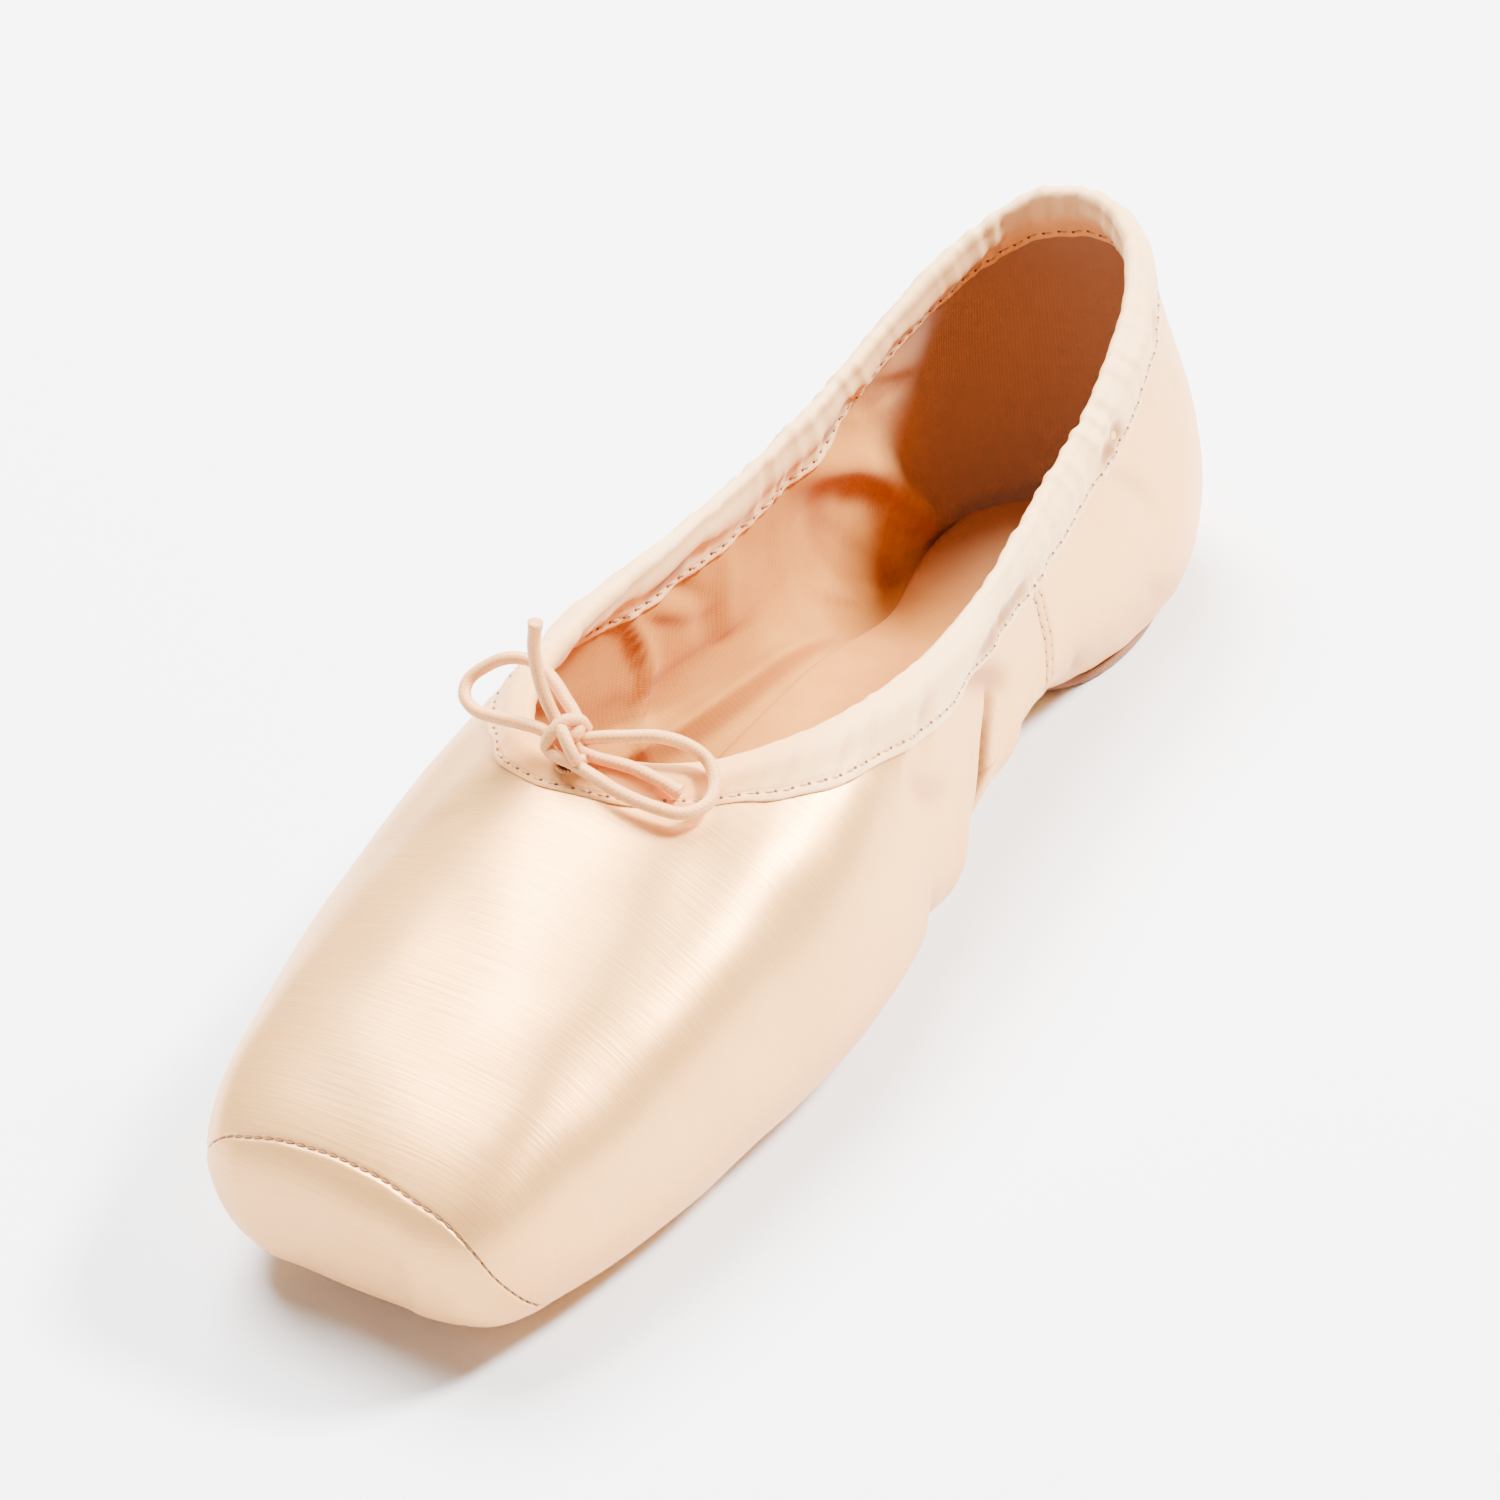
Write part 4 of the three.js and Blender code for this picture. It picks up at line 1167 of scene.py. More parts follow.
class POINTESHOE_OT_bow(bpy.types.Operator):
    """Makes the drawstring's two strings and the knot between them."""

    bl_idname = "pointe_shoe.bow"
    bl_label = "Bow"

    def execute(self, context):
        sizes = context.scene.pointe_shoe_sizes
        colours = context.scene.pointe_shoe_colours
        diameter = sizes.cord_diameter
        material = cord_material("cotton_cord_braided", colours.cord, diameter)
        knot = outer_face(0.0, 0.0) + np.array(THROAT_TO_KNOT) * MM
        for side, points in (("left", LEFT_STRING), ("right", RIGHT_STRING)):
            line, total = resample(smooth_line(knot + np.array(points) * MM), step=0.45 * MM)
            grid, uv, along = tube(line, diameter / 2)
            # the cut end opens a little
            open_end = 1 + 0.18 * bell(np.linalg.norm(line - line[-1], axis=1), 0.6 * diameter)
            grid = line[None] + (grid - line[None]) * open_end[None, :, None]
            mesh = mesh_from_grid(f"string_{side}", grid, closed=True, uv=uv)
            self.close_end(mesh, grid, along)
            nodes = (f"drawstring_loop_{side}", f"drawstring_end_{side}")
            piece = shown(f"string_{side}", mesh, material, nodes)
        turns = []
        for k, (points, thickness) in enumerate(KNOT_TURNS):
            line, _ = resample(smooth_line(knot + np.array(points) * MM), step=0.4 * MM)
            grid, uv, _ = tube(line, diameter / 2 * thickness)
            turns.append(mesh_from_grid(f"turn_{k}", grid, closed=True, uv=uv))
        shown("knot", join("knot", turns), material, ("drawstring_knot",))
        return {"FINISHED"}

    def close_end(self, mesh, grid, along):
        """A slightly hollow cap on the cut end."""
        columns = grid.shape[1]
        rim = [k * columns + columns - 1 for k in range(grid.shape[0])]
        mesh.vertices.add(1)
        top = len(mesh.vertices) - 1
        mesh.vertices[top].co = grid[:, -1].mean(0) - along[-1] * 0.25 * MM
        start = len(mesh.loops)
        mesh.loops.add(3 * len(rim))
        first = len(mesh.polygons)
        mesh.polygons.add(len(rim))
        for k, a in enumerate(rim):
            b = rim[(k + 1) % len(rim)]
            mesh.polygons[first + k].loop_start = start + 3 * k
            for c, vertex in enumerate((a, b, top)):
                mesh.loops[start + 3 * k + c].vertex_index = vertex
        mesh.update(calc_edges=True)


def join(name, meshes):
    """One mesh from several, with their uv."""
    whole = bmesh.new()
    for mesh in meshes:
        whole.from_mesh(mesh)
    joined = bpy.data.meshes.new(name)
    whole.to_mesh(joined)
    whole.free()
    for mesh in meshes:
        bpy.data.meshes.remove(mesh)
    joined.shade_smooth()
    return joined


def round_uv(round_collar, down):
    """UV in metres round the collar and down from it, with the row that closes it."""
    uv = np.stack([round_collar, down], -1)
    return np.concatenate([uv, uv[:1] + [COLLAR_S[-1], 0]])


class POINTESHOE_OT_upper(bpy.types.Operator):
    """Makes the satin and the cotton lining of the upper."""

    bl_idname = "pointe_shoe.upper"
    bl_label = "Satin and lining"

    # distances from a seam at which rows or columns of points run
    NEAR = np.array([0.0, 0.12, 0.26, 0.42, 0.62, 0.9, 1.3, 1.9, 2.7]) * MM
    ROWS_ABOVE = 56
    ROWS_BELOW = 28
    ROWS_UNDER = 9
    COLUMN_STEP = 0.9 * MM

    def beside(self, seam, end, ahead, behind):
        """Places from 0 to the end, close together near the seam, with so many on either side."""
        ahead = np.linspace(0, seam - self.NEAR[-1], ahead)
        behind = np.linspace(seam + self.NEAR[-1], end, behind)
        return np.concatenate([ahead, seam - self.NEAR[-2:0:-1], seam + self.NEAR[:-1], behind])

    def columns(self):
        """u of the columns, close together at the side seams."""
        u = np.linspace(0, LAST, 2801)
        s = walked(outer_face(u, 1.0))
        seam = np.interp(SIDE_SEAM, u, s)
        counts = (int(seam / self.COLUMN_STEP), int((s[-1] - seam) / self.COLUMN_STEP))
        half = np.interp(self.beside(seam, s[-1], *counts), s, u)
        return np.concatenate([-half[:0:-1], half[:-1]])

    def rows(self, u):
        """t of each column's rows, close together at the platform's seam."""
        t = np.linspace(0, 2, 241)
        found = []
        for one, s in zip(u, walked(outer_face(u[:, None], t[None]))):
            seam = np.interp(tip_seam_t(one), t, s)
            places = self.beside(seam, s[-1], self.ROWS_ABOVE, self.ROWS_BELOW)
            found.append(np.interp(np.sort(places), s, t))
        under = np.linspace(2, 3, self.ROWS_UNDER + 1)[1:]
        under = np.broadcast_to(under, (len(u), self.ROWS_UNDER))
        return np.concatenate([np.array(found), under], axis=1)

    def execute(self, context):
        u = self.columns()
        t = self.rows(u)
        self.satin(context, u, t)
        # the lining has half as many columns
        self.lining(context, u[::2], t[::2])
        return {"FINISHED"}

    def satin(self, context, u, t):
        """Shows the satin, with painted shade in its folds and beside the side seams' stitches."""
        scale = context.scene.pointe_shoe_sizes.crease_scale
        # the columns near a side seam follow it
        shift = bell(np.abs(u) - SIDE_SEAM, 0.7)[:, None] * (side_seam_u(t) - SIDE_SEAM)
        u = u[:, None] + np.sign(u)[:, None] * shift
        grid, _ = satin_at(u, t, scale)
        mesh = mesh_from_grid("satin", grid, closed=True, uv=self.weave_uv(u, t), flip=True)
        # painted shade: the mark is deepest in the troughs of the creases and along the side seams'
        # rows
        troughs = scale * folded(outer_face(u, t), CREASES)
        away = np.abs((np.abs(u) - side_seam_u(t)) * np.linalg.norm(steps_of(u, t)[0], axis=-1))
        at_row = bell(away - SEAM_ROW, 0.45 * MM) * smoothstep(0.1, 0.3, t)
        set_mark(mesh, np.maximum(0.8 * smoothstep(0.1 * MM, 1.7 * MM, troughs), 0.42 * at_row))
        shown("satin", mesh, satin_finish(context), ("upper",))

    def lining(self, context, u, t):
        """Shows the lining, with painted shade towards the heel, under its folds and in the box."""
        colours = context.scene.pointe_shoe_colours
        u = u[:, None] + 0 * t
        grid, _ = lining_at(u, t, context.scene.pointe_shoe_sizes.crease_scale)
        down = walked(grid)
        uv = round_uv(np.interp(u, COLLAR_U, COLLAR_S), down)
        mesh = mesh_from_grid("lining", grid, closed=True, uv=uv)
        # painted shade: a duller tone towards the heel, where its inside lies in shadow
        set_mark(mesh, smoothstep(72 * MM, 98 * MM, grid[..., 1]))
        # painted shade under the folds' crests, in their hollows and deep in the box
        height = lining_relief(u, t, outer_face(u, t), 1.0)
        fall = -np.gradient(height, axis=1) / np.maximum(np.gradient(down, axis=1), 0.1 * MM)
        under = 0.9 * smoothstep(0.04, 0.5, fall)
        hollow = 0.6 * smoothstep(0.1 * MM, 1.0 * MM, -height)
        in_box = 0.5 * smoothstep(0, 32 * MM, -grid[..., 1])
        set_mark(mesh, np.maximum(np.maximum(under, hollow), in_box), "fold")
        base, marks = colours.lining, {"mark": colours.lining_heel_shade, "fold": colours.lining_fold_shade}
        shade = toned(base, 0.86, 0.8, 0.74)
        drill = cloth_material("cotton_drill_woven", base, shade, 0.6 * MM, 0.2, 0.9, 0.05, marks)
        shown("lining", mesh, drill, ("upper",))

    def weave_uv(self, u, t):
        """Metres across the threads and along them: the threads lie across the vamp, across the
        platform and up and down the quarters."""
        places = outer_face(u, t)
        size, side = np.abs(u), np.sign(u)
        fine = np.linspace(0, LAST, 1401)
        girth = walked(outer_face(fine, 1.0))
        quarter = (np.interp(size, fine, girth) - np.interp(SIDE_SEAM, fine, girth)) * side + 0.5
        middle = outer_face(0.0, np.linspace(0, 1, 101))[::-1]
        over = np.interp(places[..., 1], middle[:, 1], middle[:, 2]) - places[..., 2]
        on_tip = (t > tip_seam_t(u)) & (size < TIP_SEAM_END)
        on_quarter = size > side_seam_u(t)
        across = np.where(on_tip, places[..., 2] * 1.3 - 0.4, places[..., 1])
        across = np.where(on_quarter, quarter, across)
        along = np.where(on_tip, places[..., 0], places[..., 0] + side * over)
        along = np.where(on_quarter, walked(places) * side, along)
        uv = np.stack([across, along], -1)
        return np.concatenate([uv, uv[:1]])


def collar_places(count):
    """u and length of so many places at equal distances along the collar, from the heel round."""
    s = np.linspace(0, COLLAR_S[-1], count, endpoint=False)
    return np.interp(s, COLLAR_S, COLLAR_U), s


def front_share(u, start=3.0):
    """1 at the throat and 0 from the wings back."""
    return 1 - smoothstep(start, 8.0, np.abs(u))


def casing_depth(u, s):
    """Depth of the casing's wavy lower edge, shallower towards the throat and round its corners."""
    angle = 2 * np.pi * s / COLLAR_S[-1]
    waves = 0.6 * np.sin(13 * angle + 0.8) + 0.4 * np.sin(29 * angle)
    corners = bell(np.abs(u) - 2.9, 1.1)
    depth = 9.4 - 2.4 * front_share(u) + 0.35 * waves - 0.7 * corners + 0.3 * pinched(s)
    return np.minimum(depth, 9.8) * MM


class POINTESHOE_OT_casing(bpy.types.Operator):
    """Makes the gathered casing round the collar, its stitches and the string's hole."""

    bl_idname = "pointe_shoe.casing"
    bl_label = "Casing"

    COUNT = 1150
    OVER_EDGE = 7
    # shares of the casing's depth at which its rows and its stitches run
    SHARES = np.array(
        [1.0, 0.975, 0.94, 0.9, 0.86, 0.82, 0.77, 0.68, 0.56, 0.44, 0.33, 0.23, 0.14, 0.06]
    )
    STITCH_SHARE = 0.87

    def height(self, share, u, s, gather_height):
        """Height of the tape's face over the wall, without the gap."""
        drawn = pinched(s)
        front = front_share(u)
        puff = 1 + 0.3 * ripple(s, (0.0235, 0.0371, 0.0168), 0.7)
        string = bell(share - 0.38 + 0.1 * drawn, 0.28 - 0.14 * drawn)
        roll = (1.55 - 0.75 * front - 0.3 * drawn) * puff * string
        hollow = 0.5 * drawn * bell(share - 0.68, 0.12)
        seam = 0.26 * bell(share - self.STITCH_SHARE, 0.035)
        hem = (0.14 + 0.12 * front) * smoothstep(0.9, 1.0, share)
        wrinkle = gather_height * gather(s) * (1 + drawn)
        wrinkle = wrinkle * (1 - 0.45 * smoothstep(0.75, 1.0, share))
        fine = 0.1 * MM * ripple(s, (0.0021, 0.0033, 0.0047), 0.9) * (0.4 + 0.6 * share)
        plain = 0.42 - 0.12 * front
        return (plain + roll - hollow - seam - hem) * MM + (wrinkle + fine) * (1 - 0.6 * front)

    def side(self, u, s, share, is_inside, sizes):
        """Places on one side of the tape and the directions out of it."""
        t = depth_to_t(u, casing_depth(u, s) * share)
        shift = 0.004 if is_inside else 0.0
        places, out = (lining_at if is_inside else satin_at)(u, t, sizes.crease_scale)
        rise = GAP * 0.6 + self.height(share, u, s + shift, sizes.casing_gather)
        return places + out * rise[..., None], out

    def execute(self, context):
        sizes = context.scene.pointe_shoe_sizes
        u, s = collar_places(self.COUNT)
        self.tape(context, u, s)
        rows = []
        for is_inside in (False, True):
            share = np.full(self.COUNT, self.STITCH_SHARE)
            line, out = self.side(u, s, share, is_inside, sizes)
            line, out = (np.concatenate([one, one[:1]]) for one in (line, out))
            rows.append(seam_parts(line, out, STITCH, 0.9 * MM, sizes.thread_diameter))
        show_seam(context, "casing", rows)
        self.hole(context, sizes)
        return {"FINISHED"}

    def tape(self, context, u, s):
        """Shows the tape, from its hem outside over the collar's edge to its hem inside."""
        sizes = context.scene.pointe_shoe_sizes
        colours = context.scene.pointe_shoe_colours
        share = self.SHARES[None, :]
        outside, _ = self.side(u[:, None], s[:, None], share, False, sizes)
        inside, _ = self.side(u[:, None], s[:, None], share, True, sizes)
        first, last = outside[:, -1:], inside[:, -1:]
        middle = (first + last) / 2
        reach = np.linalg.norm(first - last, axis=-1, keepdims=True) / 2 * 1.02
        up = unit(outer_face(u, 0.0) - outer_face(u, 0.01))[:, None]
        angles = np.linspace(0, np.pi, self.OVER_EDGE + 2)[1:-1, None]
        over = middle + (first - middle) * np.cos(angles) + up * reach * np.sin(angles)
        t_low = depth_to_t(u, casing_depth(u, s))
        hems = []
        for face_at in (satin_at, lining_at):
            places, out = face_at(u, t_low, sizes.crease_scale)
            hems.append((places + out * 0.1 * MM)[:, None])
        grid = np.concatenate([hems[0], outside, over, inside[:, ::-1], hems[1]], axis=1)
        down = walked(grid)
        uv = round_uv(np.broadcast_to(s[:, None], down.shape), down)
        mesh = mesh_from_grid("casing", grid, closed=True, uv=uv)

        # painted shade, a deep tan, in the hollows where the string draws it in and in the troughs
        # of its gathers, and the satin's colour towards the throat
        drawn = pinched(s)
        hollow = smoothstep(0.2, 0.75, drawn)[:, None] * np.exp(-(((share - 0.67) / 0.17) ** 4))
        troughs = smoothstep(0.1, 1.1, -gather(s)) * (0.1 + 0.25 * drawn)
        tan = np.maximum(0.85 * hollow, troughs[:, None] * smoothstep(0.1, 0.4, share))
        hem, edge = np.zeros((self.COUNT, 1)), np.zeros((self.COUNT, self.OVER_EDGE))
        set_mark(mesh, np.concatenate([hem, tan, edge, tan[:, ::-1], hem], axis=1))
        set_mark(mesh, np.broadcast_to(front_share(u, 2.5)[:, None], down.shape), "front")
        base, shade = colours.casing, toned(colours.casing, 0.95, 0.89, 0.83)
        marks = {"front": colours.satin_shade, "mark": toned(base, 0.31, 0.13, 0.035)}
        tape = cloth_material("cotton_tape_woven", base, shade, 0.5 * MM, 0.15, 0.5, 0.15, marks)
        shown("casing", mesh, tape, ("drawstring_casing",))

    def hole(self, context, sizes):
        """The worked hole at the throat that the string leaves by."""
        u = np.array([0.0])
        s = np.interp(u, COLLAR_U, COLLAR_S)
        centre, out = (one[0] for one in self.side(u, s, np.array([0.36]), False, sizes))
        centre = centre + out * 0.05 * MM
        across, up = np.array([1.15, 0, 0]), unit(np.cross(out, (1.0, 0, 0)))
        angles = np.linspace(0, 2 * np.pi, 25)
        ring = ring_of(centre, across, up, angles, 1.75 * MM)[:, 0]
        normals = np.repeat(out[None], len(ring), 0)
        rim = stitches(ring, normals, 0.5 * MM, 0.08 * MM, 0.55 * MM, sink=0.0)
        mesh = mesh_from_parts("string_hole_rim", rim)
        shown("string_hole_rim", mesh, thread_finish(context))
        # painted shade: a dark disc sunk a little into the hole
        ring = ring_of(centre, across, up, angles[:-1], 1.6 * MM)[:, 0] + out * 0.12 * MM
        points = np.concatenate([[centre - out * 0.2 * MM], ring])
        faces = [(0, 1 + k, 1 + (k + 1) % len(ring)) for k in range(len(ring))]
        mesh = mesh_from_parts("string_hole", [(points, faces)])
        dark = thread_material("string_hole_painted_shade", linear(STRING_HOLE_SHADE))
        shown("string_hole", mesh, dark)


class POINTESHOE_OT_heel_tape(bpy.types.Operator):
    """Makes the satin tape up the back of the heel, and its stitches."""

    bl_idname = "pointe_shoe.heel_tape"
    bl_label = "Heel tape"

    def places(self, x, t):
        """Places on the back of the heel at those distances from its middle."""
        low, high = np.zeros_like(x), np.full_like(x, 2.0)
        for _ in range(30):
            middle = (low + high) / 2
            short = np.abs(outer_face(LAST - middle, t)[..., 0]) < np.abs(x)
            low, high = np.where(short, middle, low), np.where(short, high, middle)
        u = LAST + np.where(x > 0, -low, low)
        return outer_face(u, t), outward(u, t)

    def execute(self, context):
        sizes = context.scene.pointe_shoe_sizes
        top = float(depth_to_t(float(LAST), CASING_DEPTH - 1.0 * MM))
        t = np.linspace(top, 2.4, 108)
        x2, t2 = np.meshgrid(np.linspace(-TAPE_WIDTH / 2, TAPE_WIDTH / 2, 41), t)
        share = np.abs(x2) / (TAPE_WIDTH / 2)
        places, out = self.places(x2, t2)
        # it thins towards the sole, and dips along its stitches
        rise = 0.75 + 0.16 * (1 - share**6) - 0.6 * smoothstep(1.75, 2.15, t2)
        rise = rise - 0.2 * bell(share - 0.8, 0.06)
        rise = rise + 0.09 * ripple(t2 * 0.04, (0.0083, 0.0052, 0.013)) * share
        rise = np.where(share > 0.98, 0.3, rise) * MM
        uv = np.stack([x2, t2 * 0.045], -1)
        grid = places + out * rise[..., None]
        mesh = mesh_from_grid("heel_tape_satin", grid, uv=uv, flip=True)
        shown("heel_tape_satin", mesh, satin_finish(context), ("heel_tape",))
        rows = []
        for side in (-0.8, 0.8):
            places, out = self.places(np.full_like(t, side * TAPE_WIDTH / 2), t)
            line = places + out * (0.72 - 0.6 * smoothstep(1.75, 2.15, t))[:, None] * MM
            rows.append(seam_parts(line, out, STITCH, STITCH_GAP, sizes.thread_diameter))
        show_seam(context, "heel_tape", rows)
        return {"FINISHED"}


class POINTESHOE_OT_seams(bpy.types.Operator):
    """Makes the stitches of the platform, the sides and the waist."""

    bl_idname = "pointe_shoe.seams"
    bl_label = "Seams"

    def execute(self, context):
        sizes = context.scene.pointe_shoe_sizes
        colours = context.scene.pointe_shoe_colours
        scale = sizes.crease_scale
        dark = thread_material("polyester_thread_twisted", colours.dark_thread)
        u = np.linspace(-TIP_SEAM_END + 0.1, TIP_SEAM_END - 0.1, 400)
        line, out = satin_at(u, tip_seam_t(u), scale)
        parts = stitches(line + out * 0.2 * MM, out, 1.5 * MM, 0.4 * MM, 0.29 * MM)
        mesh = mesh_from_parts("platform_stitches", parts)
        shown("platform_stitches", mesh, dark)

        rows = []
        t = np.linspace(0.3, 2.95, 260)
        t = t[t > float(depth_to_t(9.3, CASING_DEPTH))]
        per_u = np.linalg.norm(steps_of(side_seam_u(t), t)[0], axis=-1)
        for side in (-1, 1):
            for away in (-SEAM_ROW, SEAM_ROW):
                line, out = satin_at(side * (side_seam_u(t) + away / per_u), t, scale)
                rows.append(seam_parts(line, out, STITCH, STITCH_GAP, sizes.thread_diameter))
        show_seam(context, "side", rows)
        self.waist(context)
        return {"FINISHED"}

    def under_waist(self, x, y):
        """Places just below the satin's underside, and the way down."""
        down = np.repeat([[0, 0, -1.0]], len(x), 0)
        return np.stack([x, y - LENGTH / 2, tread_height(y) - 0.14 * MM], 1), down

    def waist(self, context):
        """Ladder stitches over the seam along the waist, from one outsole to the other."""
        start, end = egg_span(FRONT_SOLE)[1], egg_span(HEEL_SOLE)[0]
        thread = 0.34 * MM
        bars = []
        for y in np.arange(start + 0.6 * MM, end, 1.45 * MM):
            for side in (-1, 1):
                x = np.linspace(0.5 * MM, 3.9 * MM, 8) * side
                line, down = self.under_waist(x, np.full_like(x, y) + np.abs(x) * 0.12)
                reach = walked(line)[-1]
                bars += stitches(line, down, reach * 0.96, reach * 0.03, thread, 0.0)
        rows = [(bars, [])]
        y = np.linspace(start - 1.5 * MM, end + 1.5 * MM, 60)
        for x in (-4.3, -0.5, 0.5, 4.3):
            line, down = self.under_waist(np.full_like(y, x * MM), y)
            rows.append(seam_parts(line, down, 0.85 * MM, 0.6 * MM, thread))
        show_seam(context, "waist", rows)


class POINTESHOE_OT_soles(bpy.types.Operator):
    """Makes the two leather outsoles with their scored grooves and the heel patch's stitches."""

    bl_idname = "pointe_shoe.soles"
    bl_label = "Outsoles"

    ACROSS = 111
    EDGE = 6
    ROUNDING = 0.6 * MM
    SEAM_INSET = 4 * MM
    SEAM_DEPTH = 0.36 * MM

    def execute(self, context):
        colours = context.scene.pointe_shoe_colours
        depth = context.scene.pointe_shoe_sizes.groove_depth
        leather = leather_material(
            "sole_leather_buffed", colours.sole, colours.sole_patch, 0.66, colours.groove
        )
        fibres = toned(colours.sole_edge, 0.7, 0.66, 0.6)
        cut = leather_material("sole_leather_cut", colours.sole_edge, fibres, 0.8)
        for node, egg, grooves, has_seam in (
            ("outsole_front", FRONT_SOLE, self.front_grooves(), False),
            ("outsole_heel", HEEL_SOLE, self.heel_grooves(), True),
        ):
            mesh = self.plate(f"{node}_leather", egg, grooves, depth, has_seam)
            shown(mesh.name, mesh, [leather, cut], (node,))
        self.heel_stitches(context)
        return {"FINISHED"}

    def front_grooves(self):
        """Pairs of lines that lean across the front third."""
        lines = []
        for k in range(10):
            y = 25 + 3.9 * k - 1.2 * (k % 2)
            x = np.linspace(-30, 30, 61)
            lines.append(np.stack([x, y + 0.14 * x + 0.003 * x * x], 1) * MM)
        return lines

    def heel_grooves(self):
        """Waves across the back half, which fan out towards one side."""
        lines = []
        for k in range(8):
            x = np.linspace(-28, 28, 113)
            fan = 1 + 0.1 * (k - 3.5) * (x / 28) / 3.5
            y = 206.5 + 3.5 * (k - 3.5) * fan - 3.4 * np.cos(x / 25 * np.pi) + 0.9 * np.sin(x / 6.5)
            lines.append(np.stack([x, y], 1) * MM)
        return lines

    def stations(self, egg, grooves):
        """Distances from the platform, close together where grooves run and at both ends."""
        start, end = egg_span(egg)
        ys = np.concatenate([line[:, 1] for line in grooves])
        fine = np.arange(start, end, 0.02 * MM)
        step = np.where((fine > ys.min()) & (fine < ys.max()), 0.22 * MM, 0.9 * MM)
        from_end = np.minimum(fine - start, end - fine)
        step = np.minimum(step, 0.05 * MM + 0.16 * from_end)
        count = np.cumsum(0.02 * MM / step)
        wanted = np.linspace(count[0], count[-1], int(count[-1]) + 1)
        return np.interp(wanted, count, fine)

    def plate(self, name, egg, grooves, depth, has_seam):
        """One outsole, rounded at its lower edge, with its grooves and the channel of its seam."""
        y = self.stations(egg, grooves)[:, None]
        half = np.maximum(egg_half_width(egg, y), 0.3 * MM)
        top = tread_height(y) - GAP
        bottom = top - OUTSOLE
        rounding = np.minimum(self.ROUNDING, half * 0.5)
        lower = half - rounding
        flat = np.linspace(-1, 1, self.ACROSS)
        bend = np.linspace(0, np.pi / 2, self.EDGE)[1:]
        side_x = np.concatenate([lower + rounding * np.sin(bend), half * [1, 0.98]], 1)
        side_z = np.concatenate(
            [bottom + rounding * (1 - np.cos(bend)), top - np.array([0.1 * MM, 0])], 1
        )
        x = np.concatenate([flat * lower, side_x, -side_x[:, ::-1]], 1)
        z = np.concatenate([bottom + 0 * flat, side_z, side_z[:, ::-1]], 1)
        under = np.arange(x.shape[1]) < self.ACROSS
        in_groove = np.zeros_like(x)
        for line in grooves:
            centre = np.interp(x, line[:, 0], line[:, 1])
            slope = np.interp(x, line[:, 0], np.gradient(line[:, 1], line[:, 0]))
            away = np.abs(y - centre) / np.hypot(1, slope)
            in_groove = np.maximum(in_groove, bell(away, 0.34 * MM))
        in_groove = in_groove * under
        nap = 0.05 * MM * ripple(x * 1.3 + y, (0.0043, 0.0071, 0.0027))
        rise = in_groove * depth + np.maximum(nap, 0) * under
        grid = np.stack([x, np.broadcast_to(y - LENGTH / 2, x.shape), z], -1)
        if has_seam:
            seam = grid[:, :, None, :2] - self.seam_line()[None, None, ::6, :2]
            seam = np.min(np.linalg.norm(seam, axis=-1), axis=-1)
            channel = np.exp(-((seam / (0.6 * MM)) ** 4)) * under
            rise = np.maximum(rise, channel * self.SEAM_DEPTH)
        grid[..., 2] += rise
        mesh = mesh_from_grid(name, np.concatenate([grid, grid[:, :1]], 1))
        set_mark(mesh, np.concatenate([in_groove, in_groove[:, :1]], 1))
        on_edge = np.ones((len(y) - 1, grid.shape[1]), np.int32)
        on_edge[:, : self.ACROSS + 1] = 0
        on_edge[:, -2:] = 0
        mesh.polygons.foreach_set("material_index", on_edge.reshape(-1))
        return mesh

    def seam_line(self):
        """Where the heel patch's stitches run, on the face that meets the floor."""
        angle = np.linspace(0, 2 * np.pi, 361)
        start, end = egg_span(HEEL_SOLE)
        y = (start + end) / 2 - ((end - start) / 2 - self.SEAM_INSET) * np.cos(angle)
        half = egg_half_width(HEEL_SOLE, y, self.SEAM_INSET)
        x = np.where(np.sin(angle) >= 0, half, -half)
        z = tread_height(y) - GAP - OUTSOLE
        return resample(np.stack([x, y - LENGTH / 2, z], 1), step=0.25 * MM)[0]

    def heel_stitches(self, context):
        """Pale thread between pinholes, 3.3 mm apart, in the channel round the heel patch, and
        painted shade in the pinholes.
        """
        thread = context.scene.pointe_shoe_sizes.thread_diameter * 0.8
        line = self.seam_line() + [0, 0, self.SEAM_DEPTH - 0.05 * MM]
        total = resample(line, step=0.1 * MM)[1]
        count = int(total / (3.3 * MM))
        down = np.repeat([[0, 0, -1.0]], len(line), 0)
        parts = stitches(line, down, total / count - 1.0 * MM, 1.0 * MM, thread)
        mesh = mesh_from_parts("heel_patch_stitches", parts)
        shown("heel_patch_stitches", mesh, thread_finish(context))
        # painted shade: dark discs sunk a little into the leather where the pinholes are
        angles = np.linspace(0, 2 * np.pi, 12, endpoint=False)
        disc = np.stack([np.cos(angles), np.sin(angles), 0 * angles], 1) * 0.45 * MM
        faces = [tuple(range(11, -1, -1))]
        marks, _ = resample(line, count=count + 1)
        holes = [(p + disc - [0, 0, 0.14 * MM], faces) for p in marks[:-1]]
        mesh = mesh_from_parts("heel_patch_pinhole_shade", holes)
        dark = thread_material("pinhole_painted_shade", linear(PINHOLE_SHADE))
        shown("heel_patch_pinhole_shade", mesh, dark)


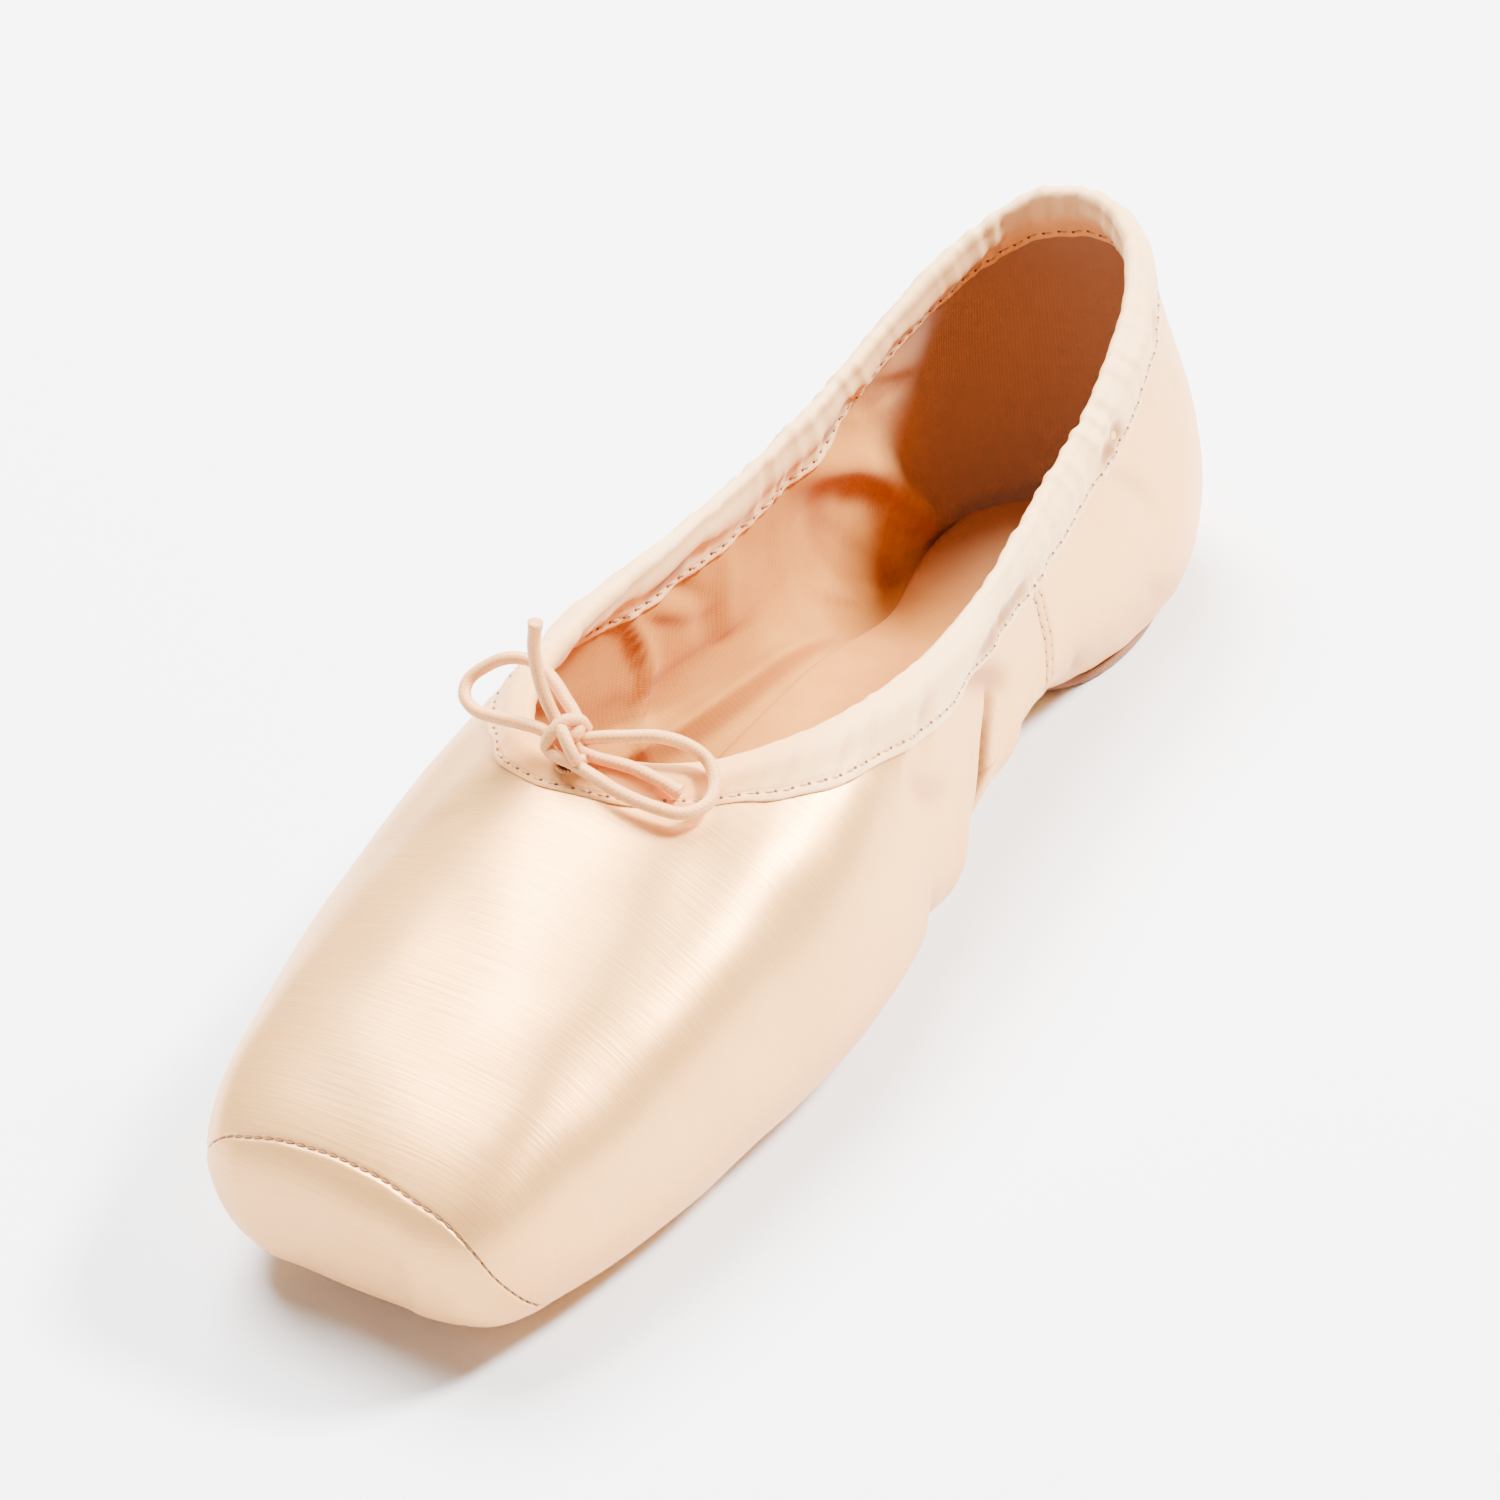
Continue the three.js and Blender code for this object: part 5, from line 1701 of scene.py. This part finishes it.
class POINTESHOE_OT_insole(bpy.types.Operator):
    """Makes the cotton sock on the insole board."""

    bl_idname = "pointe_shoe.insole"
    bl_label = "Insole"

    def execute(self, context):
        colours = context.scene.pointe_shoe_colours
        stations = 150
        angle = np.pi * (np.arange(stations) + 0.35)[:, None] / (stations - 0.3)
        percent = 5.5 + (94.5 - 5.5) * (1 - np.cos(angle)) / 2
        y = percent / 100 * LENGTH
        u = np.linspace(0, LAST, 1401)
        half = np.interp(y, value_at("soleY", u) / 100 * LENGTH, value_at("soleX", u))
        half = half / 100 * BALL_WIDTH * np.sqrt(np.minimum(1, np.sin(angle) * 2.2)) - 0.8 * MM
        slope = (tread_height(y + MM) - tread_height(y - MM)) / (2 * MM)
        bottom = tread_height(y) + (full_wall(percent) + 0.5 * MM) * np.hypot(1, slope)
        share = np.linspace(-1, 1, 41)
        x = half * share
        crown = 0.25 * MM * (1 - share**2) - 0.5 * MM * (np.abs(share) > 0.985)
        z = bottom + INSOLE + crown
        z = z + 0.08 * MM * ripple(x * 0.9 + y * 0.6, (0.012, 0.019, 0.007))
        skirt = bottom + 0.3 * MM
        x = np.concatenate([x[:, :1], x, x[:, -1:]], 1)
        z = np.concatenate([skirt, z, skirt], 1)
        grid = np.stack([x, np.broadcast_to(y - LENGTH / 2, x.shape), z], -1)
        mesh = mesh_from_grid("insole_sock", grid, uv=grid[..., :2], flip=True)
        # painted shade: a duller tone towards the heel, as on the lining
        set_mark(mesh, 0.45 * smoothstep(54 * MM, 92 * MM, grid[..., 1]))
        # painted shade deep in the box, as on the lining
        set_mark(mesh, 0.5 * smoothstep(0, 32 * MM, -grid[..., 1]), "fold")
        base = toned(colours.lining, 0.92, 0.86, 0.82)
        shade = toned(base, 0.84, 0.78, 0.72)
        marks = {"mark": colours.lining_heel_shade, "fold": colours.lining_fold_shade}
        sock = cloth_material("cotton_cloth_brushed", base, shade, 0.6 * MM, 0.2, 0.92, 0.05, marks)
        shown("insole_sock", mesh, sock, ("insole",))
        return {"FINISHED"}


class POINTESHOE_PT_panel(bpy.types.Panel):
    """Lists the shoe's pieces, sizes and colours."""

    bl_label = "Pointe Shoe"
    bl_idname = "POINTESHOE_PT_panel"
    bl_space_type = "VIEW_3D"
    bl_region_type = "UI"
    bl_category = "Pointe Shoe"

    def draw(self, context):
        layout = self.layout
        for operator in OPERATORS:
            layout.operator(operator.bl_idname)
        for group in (context.scene.pointe_shoe_sizes, context.scene.pointe_shoe_colours):
            box = layout.box()
            for name in group.__annotations__:
                box.prop(group, name)


OPERATORS = (
    POINTESHOE_OT_stage,
    POINTESHOE_OT_bow,
    POINTESHOE_OT_upper,
    POINTESHOE_OT_casing,
    POINTESHOE_OT_heel_tape,
    POINTESHOE_OT_seams,
    POINTESHOE_OT_soles,
    POINTESHOE_OT_insole,
)
CLASSES = (PointeShoeSizes, PointeShoeColours, *OPERATORS, POINTESHOE_PT_panel)


def register():
    for one in CLASSES:
        bpy.utils.register_class(one)
    bpy.types.Scene.pointe_shoe_sizes = bpy.props.PointerProperty(type=PointeShoeSizes)
    bpy.types.Scene.pointe_shoe_colours = bpy.props.PointerProperty(type=PointeShoeColours)


def unregister():
    del bpy.types.Scene.pointe_shoe_colours
    del bpy.types.Scene.pointe_shoe_sizes
    for one in reversed(CLASSES):
        bpy.utils.unregister_class(one)


def main():
    register()
    bpy.ops.pointe_shoe.stage()
    bpy.ops.pointe_shoe.bow()
    bpy.ops.pointe_shoe.upper()
    bpy.ops.pointe_shoe.casing()
    bpy.ops.pointe_shoe.heel_tape()
    bpy.ops.pointe_shoe.seams()
    bpy.ops.pointe_shoe.soles()
    bpy.ops.pointe_shoe.insole()


if __name__ == "__main__":
    main()
